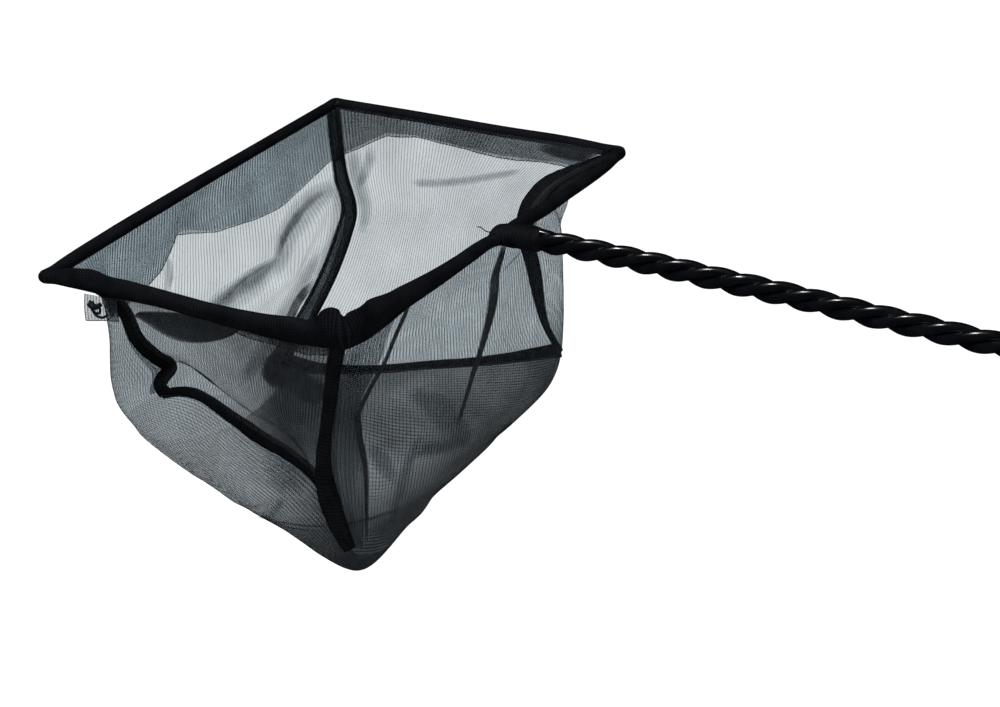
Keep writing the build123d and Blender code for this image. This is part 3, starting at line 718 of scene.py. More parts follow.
def filleted(points, radii, step):
    """A route of straight runs with round bends, as even points."""
    P = [np.asarray(p, float) for p in points]
    out = [P[0]]
    for k in range(1, len(P) - 1):
        u, v = unit(P[k - 1] - P[k]), unit(P[k + 1] - P[k])
        ang, r = math.acos(float(np.clip(u @ v, -1, 1))), radii[k - 1]
        d = r / math.tan(ang / 2)
        c = P[k] + unit(u + v) * (r / math.sin(ang / 2))
        a0, a1 = P[k] + u * d - c, P[k] + v * d - c
        th = math.pi - ang
        for q in np.linspace(0, 1, max(7, int(th * r / step) + 1)):
            out.append(c + (math.sin((1 - q) * th) * a0 + math.sin(q * th) * a1) / math.sin(th))
    out.append(P[-1])
    out = np.array(out)
    return evenly(out, max(8, int(lengths(out)[-1] / step) + 1))


def rim_route(side):
    return rim_warp(
        filleted(
            [
                (-HALF_X, side * 6.1, 0), (-HALF_X, side * HALF_Y, 0), (HALF_X, side * HALF_Y, 0),
                THROAT0 + NV * side * HP, THROAT + NV * side * HP,
            ],
            [CORNER_R, CORNER_R, 5.0],
            0.6,
        )
    )


# Two strands come from the rim, side by side, and the third lies on top of them. The twist builds
# up over the first centimetres, runs evenly, left-handed, and dies away before the loop.
THIRD = 2 * math.pi / 3
LAY = 1.645
TWIST_END = 23 * THIRD
lobes = [15.9, 25.0, 33.95, 42.6, 51.7] + [60.85 + 9.13 * k for k in range(16)]
twist_knots = [(0, 0), (3.5, 0.15), (7, 0.58)] + [(s, 2.632 + k * THIRD) for k, s in enumerate(lobes)]
twist_knots += [(205, TWIST_END - 2.2), (212, TWIST_END - 0.85), (217, TWIST_END - 0.12), (TWIST_LEN, TWIST_END)]
twist_knots = np.array(twist_knots)
strand_s = np.linspace(0, TWIST_LEN, 731)
twist = hermite(twist_knots[:, 0], twist_knots[:, 1], strand_s)
# the handle isn't quite straight
sag = np.array([(0, 0), (10, 0.24), (20, 0.38), (30, 0.42), (40, 0.38), (50, 0.26), (60, 0.10), (80, -0.12), (100, -0.60), (120, -0.96), (135, -1.18), (155, -1.25), (185, -0.7), (210, -0.08), (TWIST_LEN, 0)])
sag = hermite(sag[:, 0], sag[:, 1], strand_s)
fuller = np.clip(np.minimum(strand_s, TWIST_LEN - strand_s) / 8.0, 0, 1)
STRAND_R = WIRE_R + 0.035 * fuller


def strand_route(start):
    a = math.radians(start) - twist
    r = LAY + 0.04 * fuller
    C = THROAT + strand_s[:, None] * AX + (sag + LAY / 2)[:, None] * UPV
    return C + r[:, None] * (np.cos(a)[:, None] * NV + np.sin(a)[:, None] * UPV)


def rounded_end(radius, first, last):
    """The coat closes over a cut end: the radius dies away over the last millimetre."""
    left = np.minimum(strand_s if first else 9.0, TWIST_LEN - strand_s if last else 9.0)
    q = np.clip(1 - left / 1.3, 0, 1)
    return radius * np.sqrt(np.maximum(1 - q**2, 0.04))


def loop_route():
    pts = [(0, HP), (4.5, HP), (13.0, 8.5), (28.625, 8.5), (28.625, -8.5), (13.0, -8.5), (4.5, -HP), (0, -HP)]
    return filleted([HANDLE_END + x * AX + y * NV for x, y in pts], [6.0, 9.0, 8.4, 8.4, 9.0, 6.0], 0.6)


for side, name in ((-1, "left"), (1, "right")):
    o = mesh_object("wire_rim_" + name, tube(rim_route(side), WIRE_R, 18), PVC)
    on_frame(o, "black_pvc", "frame_jacket_" + name, "frame_core_" + name)
for k, start, first, last in ((1, -30, False, True), (2, 210, False, False), (3, 90, True, False)):
    o = mesh_object("wire_strand_%d" % k, tube(strand_route(start), rounded_end(STRAND_R, first, last), 20), PVC)
    on_frame(o, "black_pvc", "handle_strand_%d" % k, "handle_core_%d" % k)
on_frame(mesh_object("wire_hang_loop", tube(loop_route(), WIRE_R, 20), PVC), "black_pvc", "hang_loop", "loop_core")
butt = rim_warp(np.stack([np.full(25, -HALF_X), np.linspace(-6, 6, 25), np.zeros(25)], 1))
crimp = 1.35 - 0.10 * np.exp(-((np.abs(butt[:, 1]) - 3.2) / 0.9) ** 2) - 0.15 * (np.abs(butt[:, 1]) > 5.9)
on_frame(mesh_object("crimp_sleeve", tube(butt, crimp, 24), FERRULE), "ferrule_metal", "butt_ferrule")

# ------------------------------------------------------------------- bag: strip
STRIP_N = normals_of(STRIP)
WIDTH = 127.0
# Soft folds: (along, across as a share) of each line, then its height and breadth in mm.
FOLDS = [
    ([(203, 0.985), (200.6, 0.878), (198.0, 0.828), (193.8, 0.783), (187.6, 0.767), (185.5, 0.639)], 1.8, 2.6),
    ([(202.2, 0.933), (189.2, 0.844), (182.4, 0.817), (177.7, 0.650)], -1.5, 2.4),
    ([(184.5, 0.933), (169.9, 0.956), (160.5, 0.911)], 1.4, 2.0),
    ([(206.0, 0.400), (197.0, 0.405), (190.0, 0.380)], 1.6, 1.5),
    ([(114.1, 0.350), (115.7, 0.450), (107.3, 0.539)], -0.9, 2.4),
    ([(150.0, 0.25), (135.0, 0.30), (118.0, 0.28)], 0.7, 3.4),
    ([(66.0, 0.30), (80.0, 0.34), (98.0, 0.33)], 0.8, 3.0),
    ([(66.0, 0.62), (84.0, 0.60), (104.0, 0.66)], -0.8, 3.4),
    ([(20.0, 0.72), (36.0, 0.67), (52.0, 0.62)], 0.7, 2.6),
    ([(12.0, 0.30), (30.0, 0.27), (46.0, 0.22)], 0.6, 2.8),
]


def line_distance(x, y, line):
    best = np.full(np.broadcast(x, y).shape, 1e9)
    for (x0, y0), (x1, y1) in zip(line[:-1], line[1:]):
        dx, dy = x1 - x0, y1 - y0
        q = np.clip(((x - x0) * dx + (y - y0) * dy) / (dx * dx + dy * dy), 0, 1)
        best = np.minimum(best, np.hypot(x - x0 - q * dx, y - y0 - q * dy))
    return best


def fold_height(T, x):
    """How far the cloth stands out of its smooth shape."""
    out = 0.14 * noise2(T, x, 5) + 0.03 * noise2(T * 2.3, x * 2.1, 6)
    for line, high, broad in FOLDS:
        d = line_distance(T, x, [(t, v * WIDTH) for t, v in line])
        out = out + high * np.exp(-((d / broad) ** 2))
    edge = np.minimum(smooth01(x / 7.0), smooth01((WIDTH - x) / 7.0))
    ends = np.minimum(smooth01(T / 9.0), smooth01((GRID_T[-1] - T) / 9.0))
    return out * edge * ends


def strip_rows(step):
    s = np.concatenate([[0.0], np.cumsum(np.linalg.norm(np.diff(STRIP, axis=0), axis=2).mean(1))])
    n = int(round(s[-1] / step)) + 1
    return np.interp(np.linspace(0, s[-1], n), s, GRID_T)


def strip_points(T, x, off=0.0):
    rows = T / (GRID_T[1] - GRID_T[0])
    cols = x / WIDTH * (NX - 1)
    rows, cols = np.broadcast_arrays(np.clip(rows, 0, NT - 1.001), np.clip(cols, 0, NX - 1.001))
    N = unit(sampled(STRIP_N, rows, cols))
    P = sampled(STRIP, rows, cols) + N * (fold_height(T, x) + off)[..., None]
    return P, N


COLS = int(round(WIDTH / WALE)) + 1
ROWS_T = strip_rows(COURSE)
STRIP_X = np.linspace(0, WIDTH, COLS)[None] + 0.22 * noise2(ROWS_T[:, None] * 0.7, np.linspace(0, WIDTH, COLS)[None] * 0.4, 9)
NET_P, NET_N = strip_points(ROWS_T[:, None] + 0 * STRIP_X, np.clip(STRIP_X, 0, WIDTH))
NET_N = unit(np.cross(np.gradient(NET_P, axis=0), np.gradient(NET_P, axis=1)))
R4 = int(np.argmin(abs(ROWS_T - station_t(4))))
R7 = int(np.argmin(abs(ROWS_T - station_t(7))))


def net_piece(name, P, N, seed, *nodes, sheer=None, **thread):
    """A piece of net: its sheer ground, and the threads that stand on it as a piece of their own."""
    R, C = P.shape[:2]
    u, v = np.arange(C)[None] * WALE, np.arange(R)[:, None] * COURSE
    o = on_bag(mesh_object(name, ground(P, u, v), sheer or SHEER, woven=True), "bag_mesh", *nodes)
    on_bag(mesh_object(name + "_threads", netting(P, N, seed=seed, **thread), NET, woven=True), "bag_mesh", *nodes)
    return o


net_wall_handle = net_piece("net_wall_handle", NET_P[: R4 + 1], NET_N[: R4 + 1], 21, "wall_handle", sheer=SHEER_HANDLE)
net_floor = net_piece("net_floor", NET_P[R4 : R7 + 1], NET_N[R4 : R7 + 1], 22, "bag_floor", sheer=SHEER_LOW)
net_wall_tip = net_piece("net_wall_tip", NET_P[R7:], NET_N[R7:], 23, "wall_tip", knot=0.036, neck=0.026, bar=0.008)


# ------------------------------------------------------------------ bag: panels
def panel_grid(S, sign, seed):
    """Columns hang from the rim; the panel bellies out a little between its seams."""
    nq, n_p = S.shape[:2]
    p = np.linspace(0, 1, n_p)[None, :]
    q = np.linspace(0, 1, nq)[:, None]
    N = unit(np.cross(np.gradient(S, axis=0), np.gradient(S, axis=1)))
    if (N[nq // 4, n_p // 2] * np.array([0, sign, 0])).sum() < 0:
        N = -N
    belly = np.sin(math.pi * p) ** 1.3 * np.sin(math.pi * np.clip(q, 0, 1)) ** 1.2
    wave = 0.35 * noise2(p * 95 + 0 * q, q * 60 + 0 * p, seed)
    return S + N * (1.6 * belly + wave * belly**0.5)[..., None], N


PANEL_L, PANEL_LN = panel_grid(PANEL_L, -1, 31)
PANEL_R, PANEL_RN = panel_grid(PANEL_R, 1, 32)


def depth_of(S):
    return np.linalg.norm(np.diff(S, axis=0), axis=2).sum(0)


def panel_net(S, N):
    depth = depth_of(S).mean()
    wide = np.linalg.norm(np.diff(S, axis=1), axis=2).sum(1).max()
    nr, nc = int(depth / COURSE) + 1, int(wide / WALE) + 1
    rows = np.linspace(0, S.shape[0] - 1.001, nr)[:, None] + np.zeros((1, nc))
    cols = np.linspace(0, S.shape[1] - 1.001, nc)[None] + np.zeros((nr, 1))
    return sampled(S, rows, cols), unit(sampled(N, rows, cols)), (wide, depth)


PL, PLN, SIZE_L = panel_net(PANEL_L, PANEL_LN)
PR, PRN, SIZE_R = panel_net(PANEL_R, PANEL_RN)
net_panel_left = net_piece("net_panel_left", PL, PLN, 24, "panel_left", sheer=SHEER_LEFT)
net_panel_right = net_piece("net_panel_right", PR, PRN, 25, "panel_right", knot=0.036, neck=0.026, bar=0.008)


# ------------------------------------------------------------- bag: pressed folds
def panel_points(S, N):
    """Reads a panel at (across in mm from the handle side, down in mm)."""
    nq, n_p = S.shape[:2]
    total = depth_of(S)

    def points(x, down, off=0.0):
        cols = np.clip(x / 95.0, 0, 1) * (n_p - 1.001)
        rows = np.clip(down / np.interp(cols, np.arange(n_p), total), 0, 1) * (nq - 1.001)
        M = unit(sampled(N, rows, cols))
        return sampled(S, rows, cols) + M * np.asarray(off, float)[..., None], M

    return points


on_left, on_right = panel_points(PANEL_L, PANEL_LN), panel_points(PANEL_R, PANEL_RN)


def fold_net(points, line, wide, close, off, seed):
    """Cloth folded on itself along a line: a narrow run of close-set threads."""
    L = np.array(line, float)
    s = lengths(L)
    n = max(4, int(s[-1] / 0.62) + 1)
    t = np.linspace(0, s[-1], n)
    C = hermite(s, L, t)
    W = np.interp(t, s, wide)[:, None]
    D = unit(np.gradient(C, axis=0))
    v = np.linspace(-0.5, 0.5, 9)[None]
    a = C[:, :1] - D[:, 1:] * v * W
    b = C[:, 1:] + D[:, :1] * v * W
    lift = off * (0.6 + 0.4 * np.cos(2 * math.pi * v)) + 0 * a
    P, N = points(a, b, lift)
    ends = smooth01(np.minimum(t, s[-1] - t) / min(5.0, 0.3 * s[-1]))[:, None]
    return ground(P, 2 * v + 0 * ends, ends + 0 * v)


def at_share(line):
    return [(t, v * WIDTH) for t, v in line]


# The handle wall's sharp creases and its soft ones, then those of the tip wall and the floor. The soft ones, broad and
# faint, add painted shade along the folds besides their layers.
thin = at_share([(1.0, 0.190), (4.7, 0.183), (17.7, 0.144), (26.1, 0.094), (30.7, 0.073), (36.0, 0.076), (48.5, 0.093), (58.4, 0.095), (63, 0.096)])
pleat = at_share([(0.5, 0.508), (3.6, 0.506), (10.5, 0.497), (18.8, 0.483), (27.6, 0.45), (37.5, 0.394), (47.9, 0.344)])
handle_folds = [
    (thin, [2.0, 2.0, 1.8, 1.9, 2.4, 2.2, 1.9, 1.7, 1.3], 0.30, 0.45, 101),
    (thin, [1.6, 1.6, 1.5, 1.5, 2.0, 1.8, 1.5, 1.3, 0.9], 0.28, 0.80, 102),
    (pleat, [3.6, 3.4, 5.2, 5.8, 4.0, 2.4, 1.0], 0.40, 0.45, 103),
    (pleat, [3.0, 2.9, 4.4, 4.9, 3.2, 1.9, 0.8], 0.38, 0.85, 104),
    (at_share([(40.7, 0.095), (45.0, 0.115), (47.9, 0.133), (53.6, 0.182)]), [1.5, 4.0, 5.0, 2.0], 0.75, 0.5, 105),
    (at_share([(45.0, 0.228), (48.5, 0.217), (54.2, 0.196), (61.9, 0.180)]), [1.6, 4.0, 4.4, 2.0], 0.62, 0.5, 106),
    (at_share([(48.6, 0.215), (50.0, 0.267), (52.1, 0.333), (53.8, 0.40)]), [3.0, 4.0, 4.0, 2.0], 0.70, 0.5, 107),
    (at_share([(8.0, 0.04), (26.0, 0.05), (46.0, 0.045), (62.0, 0.03)]), [7.0, 9.0, 9.0, 6.0], 0.70, 0.6, 109),
    (at_share([(30.0, 0.20), (38.0, 0.27), (46.0, 0.33), (56.0, 0.42)]), [3.0, 8.0, 9.0, 4.0], 0.80, 0.6, 110),
    (at_share([(9.0, 0.60), (10.5, 0.57), (11.4, 0.54), (12.4, 0.515)]), [0.5, 0.9, 0.8, 0.5], 0.55, 0.5, 108),
]
tip_folds = [
    (at_share([(203.4, 0.965), (202.2, 0.939), (200.6, 0.878), (198.0, 0.828), (193.8, 0.783), (187.6, 0.767), (185.2, 0.735)]), [2.5, 5.5, 8.0, 10.0, 10.0, 8.0, 3.0], 0.74, -0.5, 111),
    (at_share([(202.0, 0.932), (200.4, 0.876), (197.8, 0.827), (193.8, 0.783), (187.8, 0.767)]), [1.2, 2.6, 3.4, 3.4, 1.6], 0.66, -1.3, 119),
    (at_share([(200.0, 0.868), (197.6, 0.825), (193.8, 0.783), (189.0, 0.768)]), [1.5, 4.0, 4.0, 1.5], 0.66, -0.9, 112),
    (at_share([(188.6, 0.770), (186.0, 0.706), (185.5, 0.639), (185.5, 0.561), (184.6, 0.50)]), [4.0, 9.0, 10.0, 8.0, 4.0], 0.78, -0.5, 113),
    (at_share([(188.6, 0.768), (186.2, 0.706), (185.8, 0.639), (185.8, 0.561), (184.8, 0.50)]), [2.5, 5.0, 5.4, 4.6, 2.0], 0.78, -0.7, 120),
    (at_share([(188.6, 0.745), (188.4, 0.667), (187.2, 0.606), (186.8, 0.56)]), [2.0, 4.0, 4.0, 1.5], 0.78, -0.8, 114),
    (at_share([(166.0, 0.838), (169.4, 0.854), (173.0, 0.869), (177.0, 0.925)]), [4.0, 7.0, 6.8, 3.0], 0.40, -0.5, 115),
    (at_share([(205.0, 0.975), (192.0, 0.955), (178.0, 0.945), (166.0, 0.93), (156.0, 0.90)]), [6.0, 10.0, 12.0, 12.0, 6.0], 0.80, -0.7, 117),
    (at_share([(187.0, 0.90), (179.0, 0.87), (172.0, 0.82), (166.0, 0.74), (163.0, 0.64)]), [4.0, 9.0, 10.0, 8.0, 3.0], 0.80, -0.9, 118),
    (at_share([(208.0, 0.395), (204.5, 0.40), (200.0, 0.405), (195.0, 0.40)]), [2.0, 3.4, 3.2, 1.6], 0.60, -1.2, 116),
]
floor_folds = [
    (at_share([(104.8, 0.23), (107.8, 0.31), (111.0, 0.38), (115.2, 0.45), (116.5, 0.48)]), [1.5, 3.0, 3.2, 2.8, 1.2], 0.62, 0.45, 121),
    # the gathered corner under the tip side's right seam
    (at_share([(163.4, 0.735), (160.0, 0.80), (156.0, 0.87), (151.8, 0.95), (150.5, 0.99)]), [3.0, 9.0, 11.0, 10.0, 5.0], 0.46, 0.5, 122),
    (at_share([(162.0, 0.75), (158.5, 0.81), (155.0, 0.88), (152.4, 0.95)]), [2.0, 7.5, 8.5, 6.0], 0.42, 0.9, 123),
    (at_share([(153.0, 0.97), (147.5, 0.92), (142.5, 0.88), (135.5, 0.82)]), [9.0, 13.0, 12.0, 4.0], 0.42, 0.5, 124),
    (at_share([(156.0, 0.96), (146.0, 0.80), (132.0, 0.62), (118.0, 0.48)]), [14.0, 22.0, 22.0, 10.0], 0.80, 0.8, 125),
]
right_folds = [
    ([(0.855 * 95, 9.0), (0.875 * 95, 11.5), (0.908 * 95, 17.0), (0.967 * 95, 22.9)], [2.0, 5.0, 4.5, 2.0], 0.72, -0.4, 131),
    ([(0.4, 2.4), (7.0, 3.2), (14.0, 2.8), (23.0, 2.0)], [6.0, 7.0, 6.0, 2.5], 0.40, -0.9, 134),
    ([(0.4, 2.6), (7.0, 3.6), (13.0, 3.2), (19.0, 2.4)], [6.0, 7.0, 5.0, 2.0], 0.40, -1.3, 135),
    ([(0.96 * 95, 9.0), (0.95 * 95, 18.0), (0.945 * 95, 28.0), (0.94 * 95, 38.0)], [6.0, 9.0, 8.0, 5.0], 0.80, -0.6, 133),
    ([(0.70 * 95, 18.4), (0.658 * 95, 18.2), (0.442 * 95, 16.0), (0.258 * 95, 13.0), (0.20 * 95, 12.0)], [1.5, 3.2, 3.4, 3.6, 1.8], 0.90, -0.4, 132),
]
for name, points, folds, node in (
    ("net_folds_handle", strip_points, handle_folds, "wall_handle"),
    ("net_folds_tip", strip_points, tip_folds, "wall_tip"),
    ("net_folds_floor", strip_points, floor_folds, "bag_floor"),
    ("net_folds_right", on_right, right_folds, "panel_right"),
):
    # Folds whose third number is over 0.5 take the soft material, which paints shade along them.
    for kind, material in (("", FOLD), ("_soft", FOLD_SOFT_SHADE)):
        some = [f for f in folds if (f[2] > 0.5) == (kind != "")]
        if some:
            o = mesh_object(name + kind, join_parts([fold_net(points, *f) for f in some]), material)
            on_bag(o, "bag_mesh", node)

# ------------------------------------------------------------------ hem casings
# One folded casing runs round the rim over the wire, from one side of the handle to the other,
# and is drawn in on the two wires where they leave it.
casing_line = filleted(
    [
        THROAT0 + AX * 6.5 - NV * HP, THROAT0 - NV * HP, (HALF_X, -HALF_Y, 0), (-HALF_X, -HALF_Y, 0),
        (-HALF_X, HALF_Y, 0), (HALF_X, HALF_Y, 0), THROAT0 + NV * HP, THROAT0 + AX * 6.5 + NV * HP,
    ],
    [5.0, 1.2, 0.8, 0.9, 1.1, 5.0],
    0.42,
)
cs = lengths(casing_line)


def near_corner(x, y):
    return int(np.argmin(np.hypot(casing_line[:, 0] - x, casing_line[:, 1] - y)))


KD, KA = near_corner(HALF_X, -HALF_Y), near_corner(-HALF_X, -HALF_Y)
KB, KC = near_corner(-HALF_X, HALF_Y), near_corner(HALF_X, HALF_Y)
SD, SA, SB, SC, SE = cs[KD], cs[KA], cs[KB], cs[KC], cs[-1]
# the cloth stands past the wire's bends
for s0, reach, sx, sy in ((SA, 1.0, -1, -1), (SB, 0.3, -1, 1), (SC, 0.8, 1, 1)):
    casing_line = casing_line + reach * np.exp(-(((cs - s0) / 1.9) ** 2))[:, None] * np.array([sx, sy, 0]) * 0.707
casing_line = rim_warp(casing_line)


def along_rim(*knots):
    k = np.array(knots, float)
    return hermite(k[:, 0], k[:, 1], cs)


hem_up = along_rim(
    (0, 1.47), (4, 1.5), (9, 1.65), (14, 1.9), (SD - 45, 1.85), (SD - 35, 2.1), (SD - 25, 2.6), (SD - 15, 3.5), (SD - 6, 4.3),
    (SD - 2.4, 4.0), (SD - 1.0, 3.6), (SD + 0.4, 5.0), (SD + 2.4, 6.3), (SD + 5.0, 5.5), (SD + 7.4, 3.3), (SD + 9.5, 2.4), (SD + 16, 2.3),
    (SD + 28, 2.1), (SD + 45, 2.1), (SD + 61, 2.4), (SD + 72, 3.0), (SD + 79, 3.7), (SA - 11, 4.0), (SA - 5, 2.6), (SA, 1.7),
    (SA + 6, 1.85), (SA + 20, 1.82), (SA + 54, 1.72), (SB - 36, 1.6), (SB, 1.5), (SB + 8, 1.48), (SC - 8, 1.48), (SC, 1.75),
    (SC + 6, 1.52), (SC + 30, 1.6), (SE - 14, 1.75), (SE - 6, 1.6), (SE, 1.47),
)
hem_down = along_rim(
    (0, 1.47), (4, 1.55), (9, 1.8), (14, 2.0), (SD - 45, 2.1), (SD - 35, 2.8), (SD - 25, 3.6), (SD - 15, 5.0), (SD - 8, 5.6),
    (SD - 3, 5.2), (SD, 4.8), (SD + 8.5, 4.9), (SD + 14.5, 4.8), (SD + 24, 4.3), (SD + 33, 3.6), (SD + 45, 2.9), (SD + 60, 2.7), (SD + 73, 2.8), (SA - 11, 2.3), (SA, 1.75),
    (SA + 6, 1.85), (SA + 20, 1.85), (SA + 54, 1.75), (SB - 36, 1.62), (SB, 1.5), (SB + 8, 1.5), (SC - 8, 1.5), (SC, 1.75),
    (SC + 6, 1.55), (SC + 30, 1.7), (SE - 14, 1.9), (SE - 6, 1.65), (SE, 1.47),
)
hem_half = along_rim(
    (0, 1.45), (4, 1.47), (12, 1.7), (SD - 20, 1.95), (SD, 2.0), (SD + 30, 1.8), (SA - 8, 1.85), (SA, 1.5), (SA + 8, 1.8), (SB - 30, 1.6),
    (SB, 1.47), (SB + 8, 1.47), (SC - 8, 1.47), (SC, 1.7), (SC + 10, 1.5), (SE - 12, 1.6), (SE - 4, 1.47), (SE, 1.45),
)
clear = 1.47 + 0.15 * smooth01(np.minimum(cs, SE - cs) / 9.0)
hem_up, hem_down, hem_half = (np.maximum(v, clear) for v in (hem_up, hem_down, hem_half))
casing_t = unit(np.gradient(casing_line, axis=0))
casing_out = unit(np.stack([-casing_t[:, 1], casing_t[:, 0], np.zeros(len(cs))], 1))


def casing_part(k0, k1, sides=32):
    line, out = casing_line[k0 : k1 + 1], casing_out[k0 : k1 + 1]
    n = len(line)
    a = np.linspace(0, 2 * math.pi, sides, endpoint=False)
    up, down, half = (v[k0 : k1 + 1, None] for v in (hem_up, hem_down, hem_half))
    s = cs[k0 : k1 + 1, None]
    c, z = np.cos(a)[None], np.sin(a)[None]
    pinch = 1 - 0.58 * np.clip(-z, 0, 1) ** 1.6 * np.clip((down - 1.9) / 2.5, 0, 1)
    slack = 1 - 0.50 * np.clip(z, 0, 1) ** 1.5 * np.clip((up - 1.9) / 1.6, 0, 1)
    ease = np.clip((up + down - 3.1) / 1.4, 0.15, 1.0)
    puff = 1 + ease * (0.035 * noise2(s * 1.6 + 0 * a, a * 6 + 0 * s, 41) + 0.02 * noise2(s * 4 + 0 * a, a * 9 + 0 * s, 42))
    x = half * c * pinch * slack * puff
    zz = np.where(z > 0, up, down) * z * (1 + 0.03 * ease * noise2(s * 2 + 0 * a, a * 3 + 0 * s, 43))
    wave = 0.35 * np.clip(up - 2.4, 0, 3) * np.clip(z, 0, 1) * np.sin(s * 0.55)
    V = line[:, None] + (x + wave)[..., None] * out[:, None] + zz[..., None] * np.array([0, 0, 1.0])
    V = V.reshape(-1, 3)
    i, j = np.meshgrid(np.arange(n - 1), np.arange(sides), indexing="ij")
    k = (j + 1) % sides
    F = np.stack([i * sides + j, (i + 1) * sides + j, (i + 1) * sides + k, i * sides + k], -1).reshape(-1, 4)
    girth = (math.pi * (hem_half + 0.5 * (hem_up + hem_down)))[k0 : k1 + 1]
    su = cs[k0 : k1 + 1]
    uv = np.stack(
        [
            np.stack([su[i], j / sides * girth[i]], -1), np.stack([su[i + 1], j / sides * girth[i + 1]], -1),
            np.stack([su[i + 1], (j + 1) / sides * girth[i + 1]], -1), np.stack([su[i], (j + 1) / sides * girth[i]], -1),
        ],
        2,
    ).reshape(-1, 4, 2)
    return V, [F], [uv]


def hem_piece(name, k0, k1, node):
    return on_bag(mesh_object(name, casing_part(k0, k1), CASING), "hem_mesh", node)


hem_piece("hem_casing_handle_left", 0, KD, "hem_handle_left")
hem_piece("hem_casing_left", KD, KA, "hem_left")
hem_piece("hem_casing_tip", KA, KB, "hem_tip")
hem_piece("hem_casing_right", KB, KC, "hem_right")
hem_piece("hem_casing_handle_right", KC, len(casing_line) - 1, "hem_handle_right")


# -------------------------------------------------------------------- hem flaps
def tip_flap(offset, seed, deeper):
    """The turned-in hem of the tip side, inside the wall."""
    knots = np.array(
        [(-62, 23), (-45, 22), (-26, 20), (-16, 17), (-12, 8.8), (-5, 10.8), (5, 14.3), (16, 16.7), (25, 17.9), (32, 17.9), (42, 15.8), (55, 12.2), (62, 11)],
        float,
    )
    x = np.arange(1.0, WIDTH - 0.6, WALE)
    y = x / WIDTH * 124 - 62
    depth = np.interp(y, knots[:, 0], knots[:, 1]) + deeper + 0.4 * noise1(x, seed)
    nr = int(16.5 / COURSE) + 1
    q = np.linspace(0, 1, nr)[:, None]
    T = GRID_T[-1] - 0.05 - q * depth[None]
    X = x[None] + 0 * q + 0.7 * np.sin(q * 3 + x[None] * 0.05)
    off = -(offset + 0.5 * np.sin(q * 5 + x[None] * 0.13) * q)
    off = off - 1.5 * np.exp(-(((y[None] + 12.5) / 2.2) ** 2)) * q
    return strip_points(T, X, off)


def panel_flap(points, knots, offset, seed):
    x = np.arange(knots[0, 0] * 95, knots[-1, 0] * 95, WALE)
    deep = np.interp(x / 95, knots[:, 0], knots[:, 1]) + 0.3 * noise1(x, seed)
    q = np.linspace(0, 1, int(deep.mean() / COURSE) + 2)[:, None]
    return points(x[None] + 0 * q, q * deep[None], -(offset + 0.4 * np.sin(q * 4 + x[None] * 0.22) * q))


flap_lines, hem_flaps = [], {"tip": [], "right": [], "left": []}
for k, (off, deeper) in enumerate(((0.8, 0.0), (1.5, -0.7))):
    P, N = tip_flap(off, 51 + k, deeper)
    hem_flaps["tip"].append(net_piece("hem_flap_tip_%d" % (k + 1), P, N, 52 + k, "hem_tip", sheer=SHEER_FLAP))
    flap_lines.append(P[-1])
KN_R = np.array([(0.02, 9.9), (0.08, 9.2), (0.183, 8.7), (0.342, 7.8), (0.508, 6.6), (0.683, 4.9), (0.8, 5.9), (0.875, 8.8), (0.933, 10.9), (0.999, 13.0)])
for k, off in enumerate((0.7, 1.3)):
    P, N = panel_flap(on_right, KN_R - np.array([0, 0.6 * k]), off, 55 + k)
    hem_flaps["right"].append(net_piece("hem_flap_right_%d" % (k + 1), P, N, 56 + k, "hem_right", sheer=SHEER_EDGE))
    flap_lines.append(P[-1])
KN_L = np.array([(0.02, 8.4), (0.1, 8.8), (0.25, 8.2), (0.38, 7.4), (0.5, 6.4), (0.62, 5.6), (0.74, 5.0), (0.9, 4.6)])
for k, off in enumerate((0.7, 1.3)):
    P, N = panel_flap(on_left, KN_L - np.array([0, 0.7 * k]), off, 58 + k)
    hem_flaps["left"].append(net_piece("hem_flap_left_%d" % (k + 1), P, N, 59 + k, "hem_left", sheer=SHEER_EDGE))
    flap_lines.append(P[-1])

# A roll of spare hem cloth hangs free under the left hem, three layers deep.
roll_top = np.array([(-21.0, -7.6), (-16.6, -6.9), (-9.7, -6.0), (-2.8, -5.3), (3.9, -4.7), (10.5, -4.3), (14.5, -4.2)])
roll_low = np.array([(-21.0, -8.3), (-16.9, -10.6), (-10.6, -12.9), (-3.9, -13.1), (3.0, -11.7), (10.1, -8.9), (14.5, -6.0)])


def roll_layer(depth, close, seed):
    x = np.arange(-21.0, 14.5, close)
    top, low = hermite(roll_top[:, 0], roll_top[:, 1], x), hermite(roll_low[:, 0], roll_low[:, 1], x)
    q = np.linspace(0, 1, 9)[:, None]
    z = top[None] * (1 - q) + low[None] * q
    y = -61.5 + depth - 0.9 * np.sin(math.pi * q) + 0 * x[None]
    P = np.stack([x[None] + 0 * q + 0.15 * noise2(x[None], z, seed), y, z], -1)
    N = unit(np.stack([0 * y, -np.ones_like(y), 0.5 * np.cos(math.pi * q) + 0 * y], -1))
    return ground(P, x[None] + 0 * q, q * 5.0 + 0 * x[None])


roll = join_parts([roll_layer(0.0, 0.9, 81), roll_layer(0.7, 0.9, 82), roll_layer(1.4, 0.9, 83)])
on_bag(mesh_object("hem_roll_left", roll, SHEER_ROLL), "bag_mesh", "hem_left")


# ------------------------------------------------------------------------ seams
def thinned(P, step):
    return evenly(P, max(6, int(lengths(P)[-1] / step)))


def seam_normals(left):
    """Outward direction at the corner seams, between the strip and the panel."""
    N = STRIP_N[:, 1 if left else -2]
    side = np.array([0.0, -1.0 if left else 1.0, 0.0])
    return unit(N + 0.8 * side)


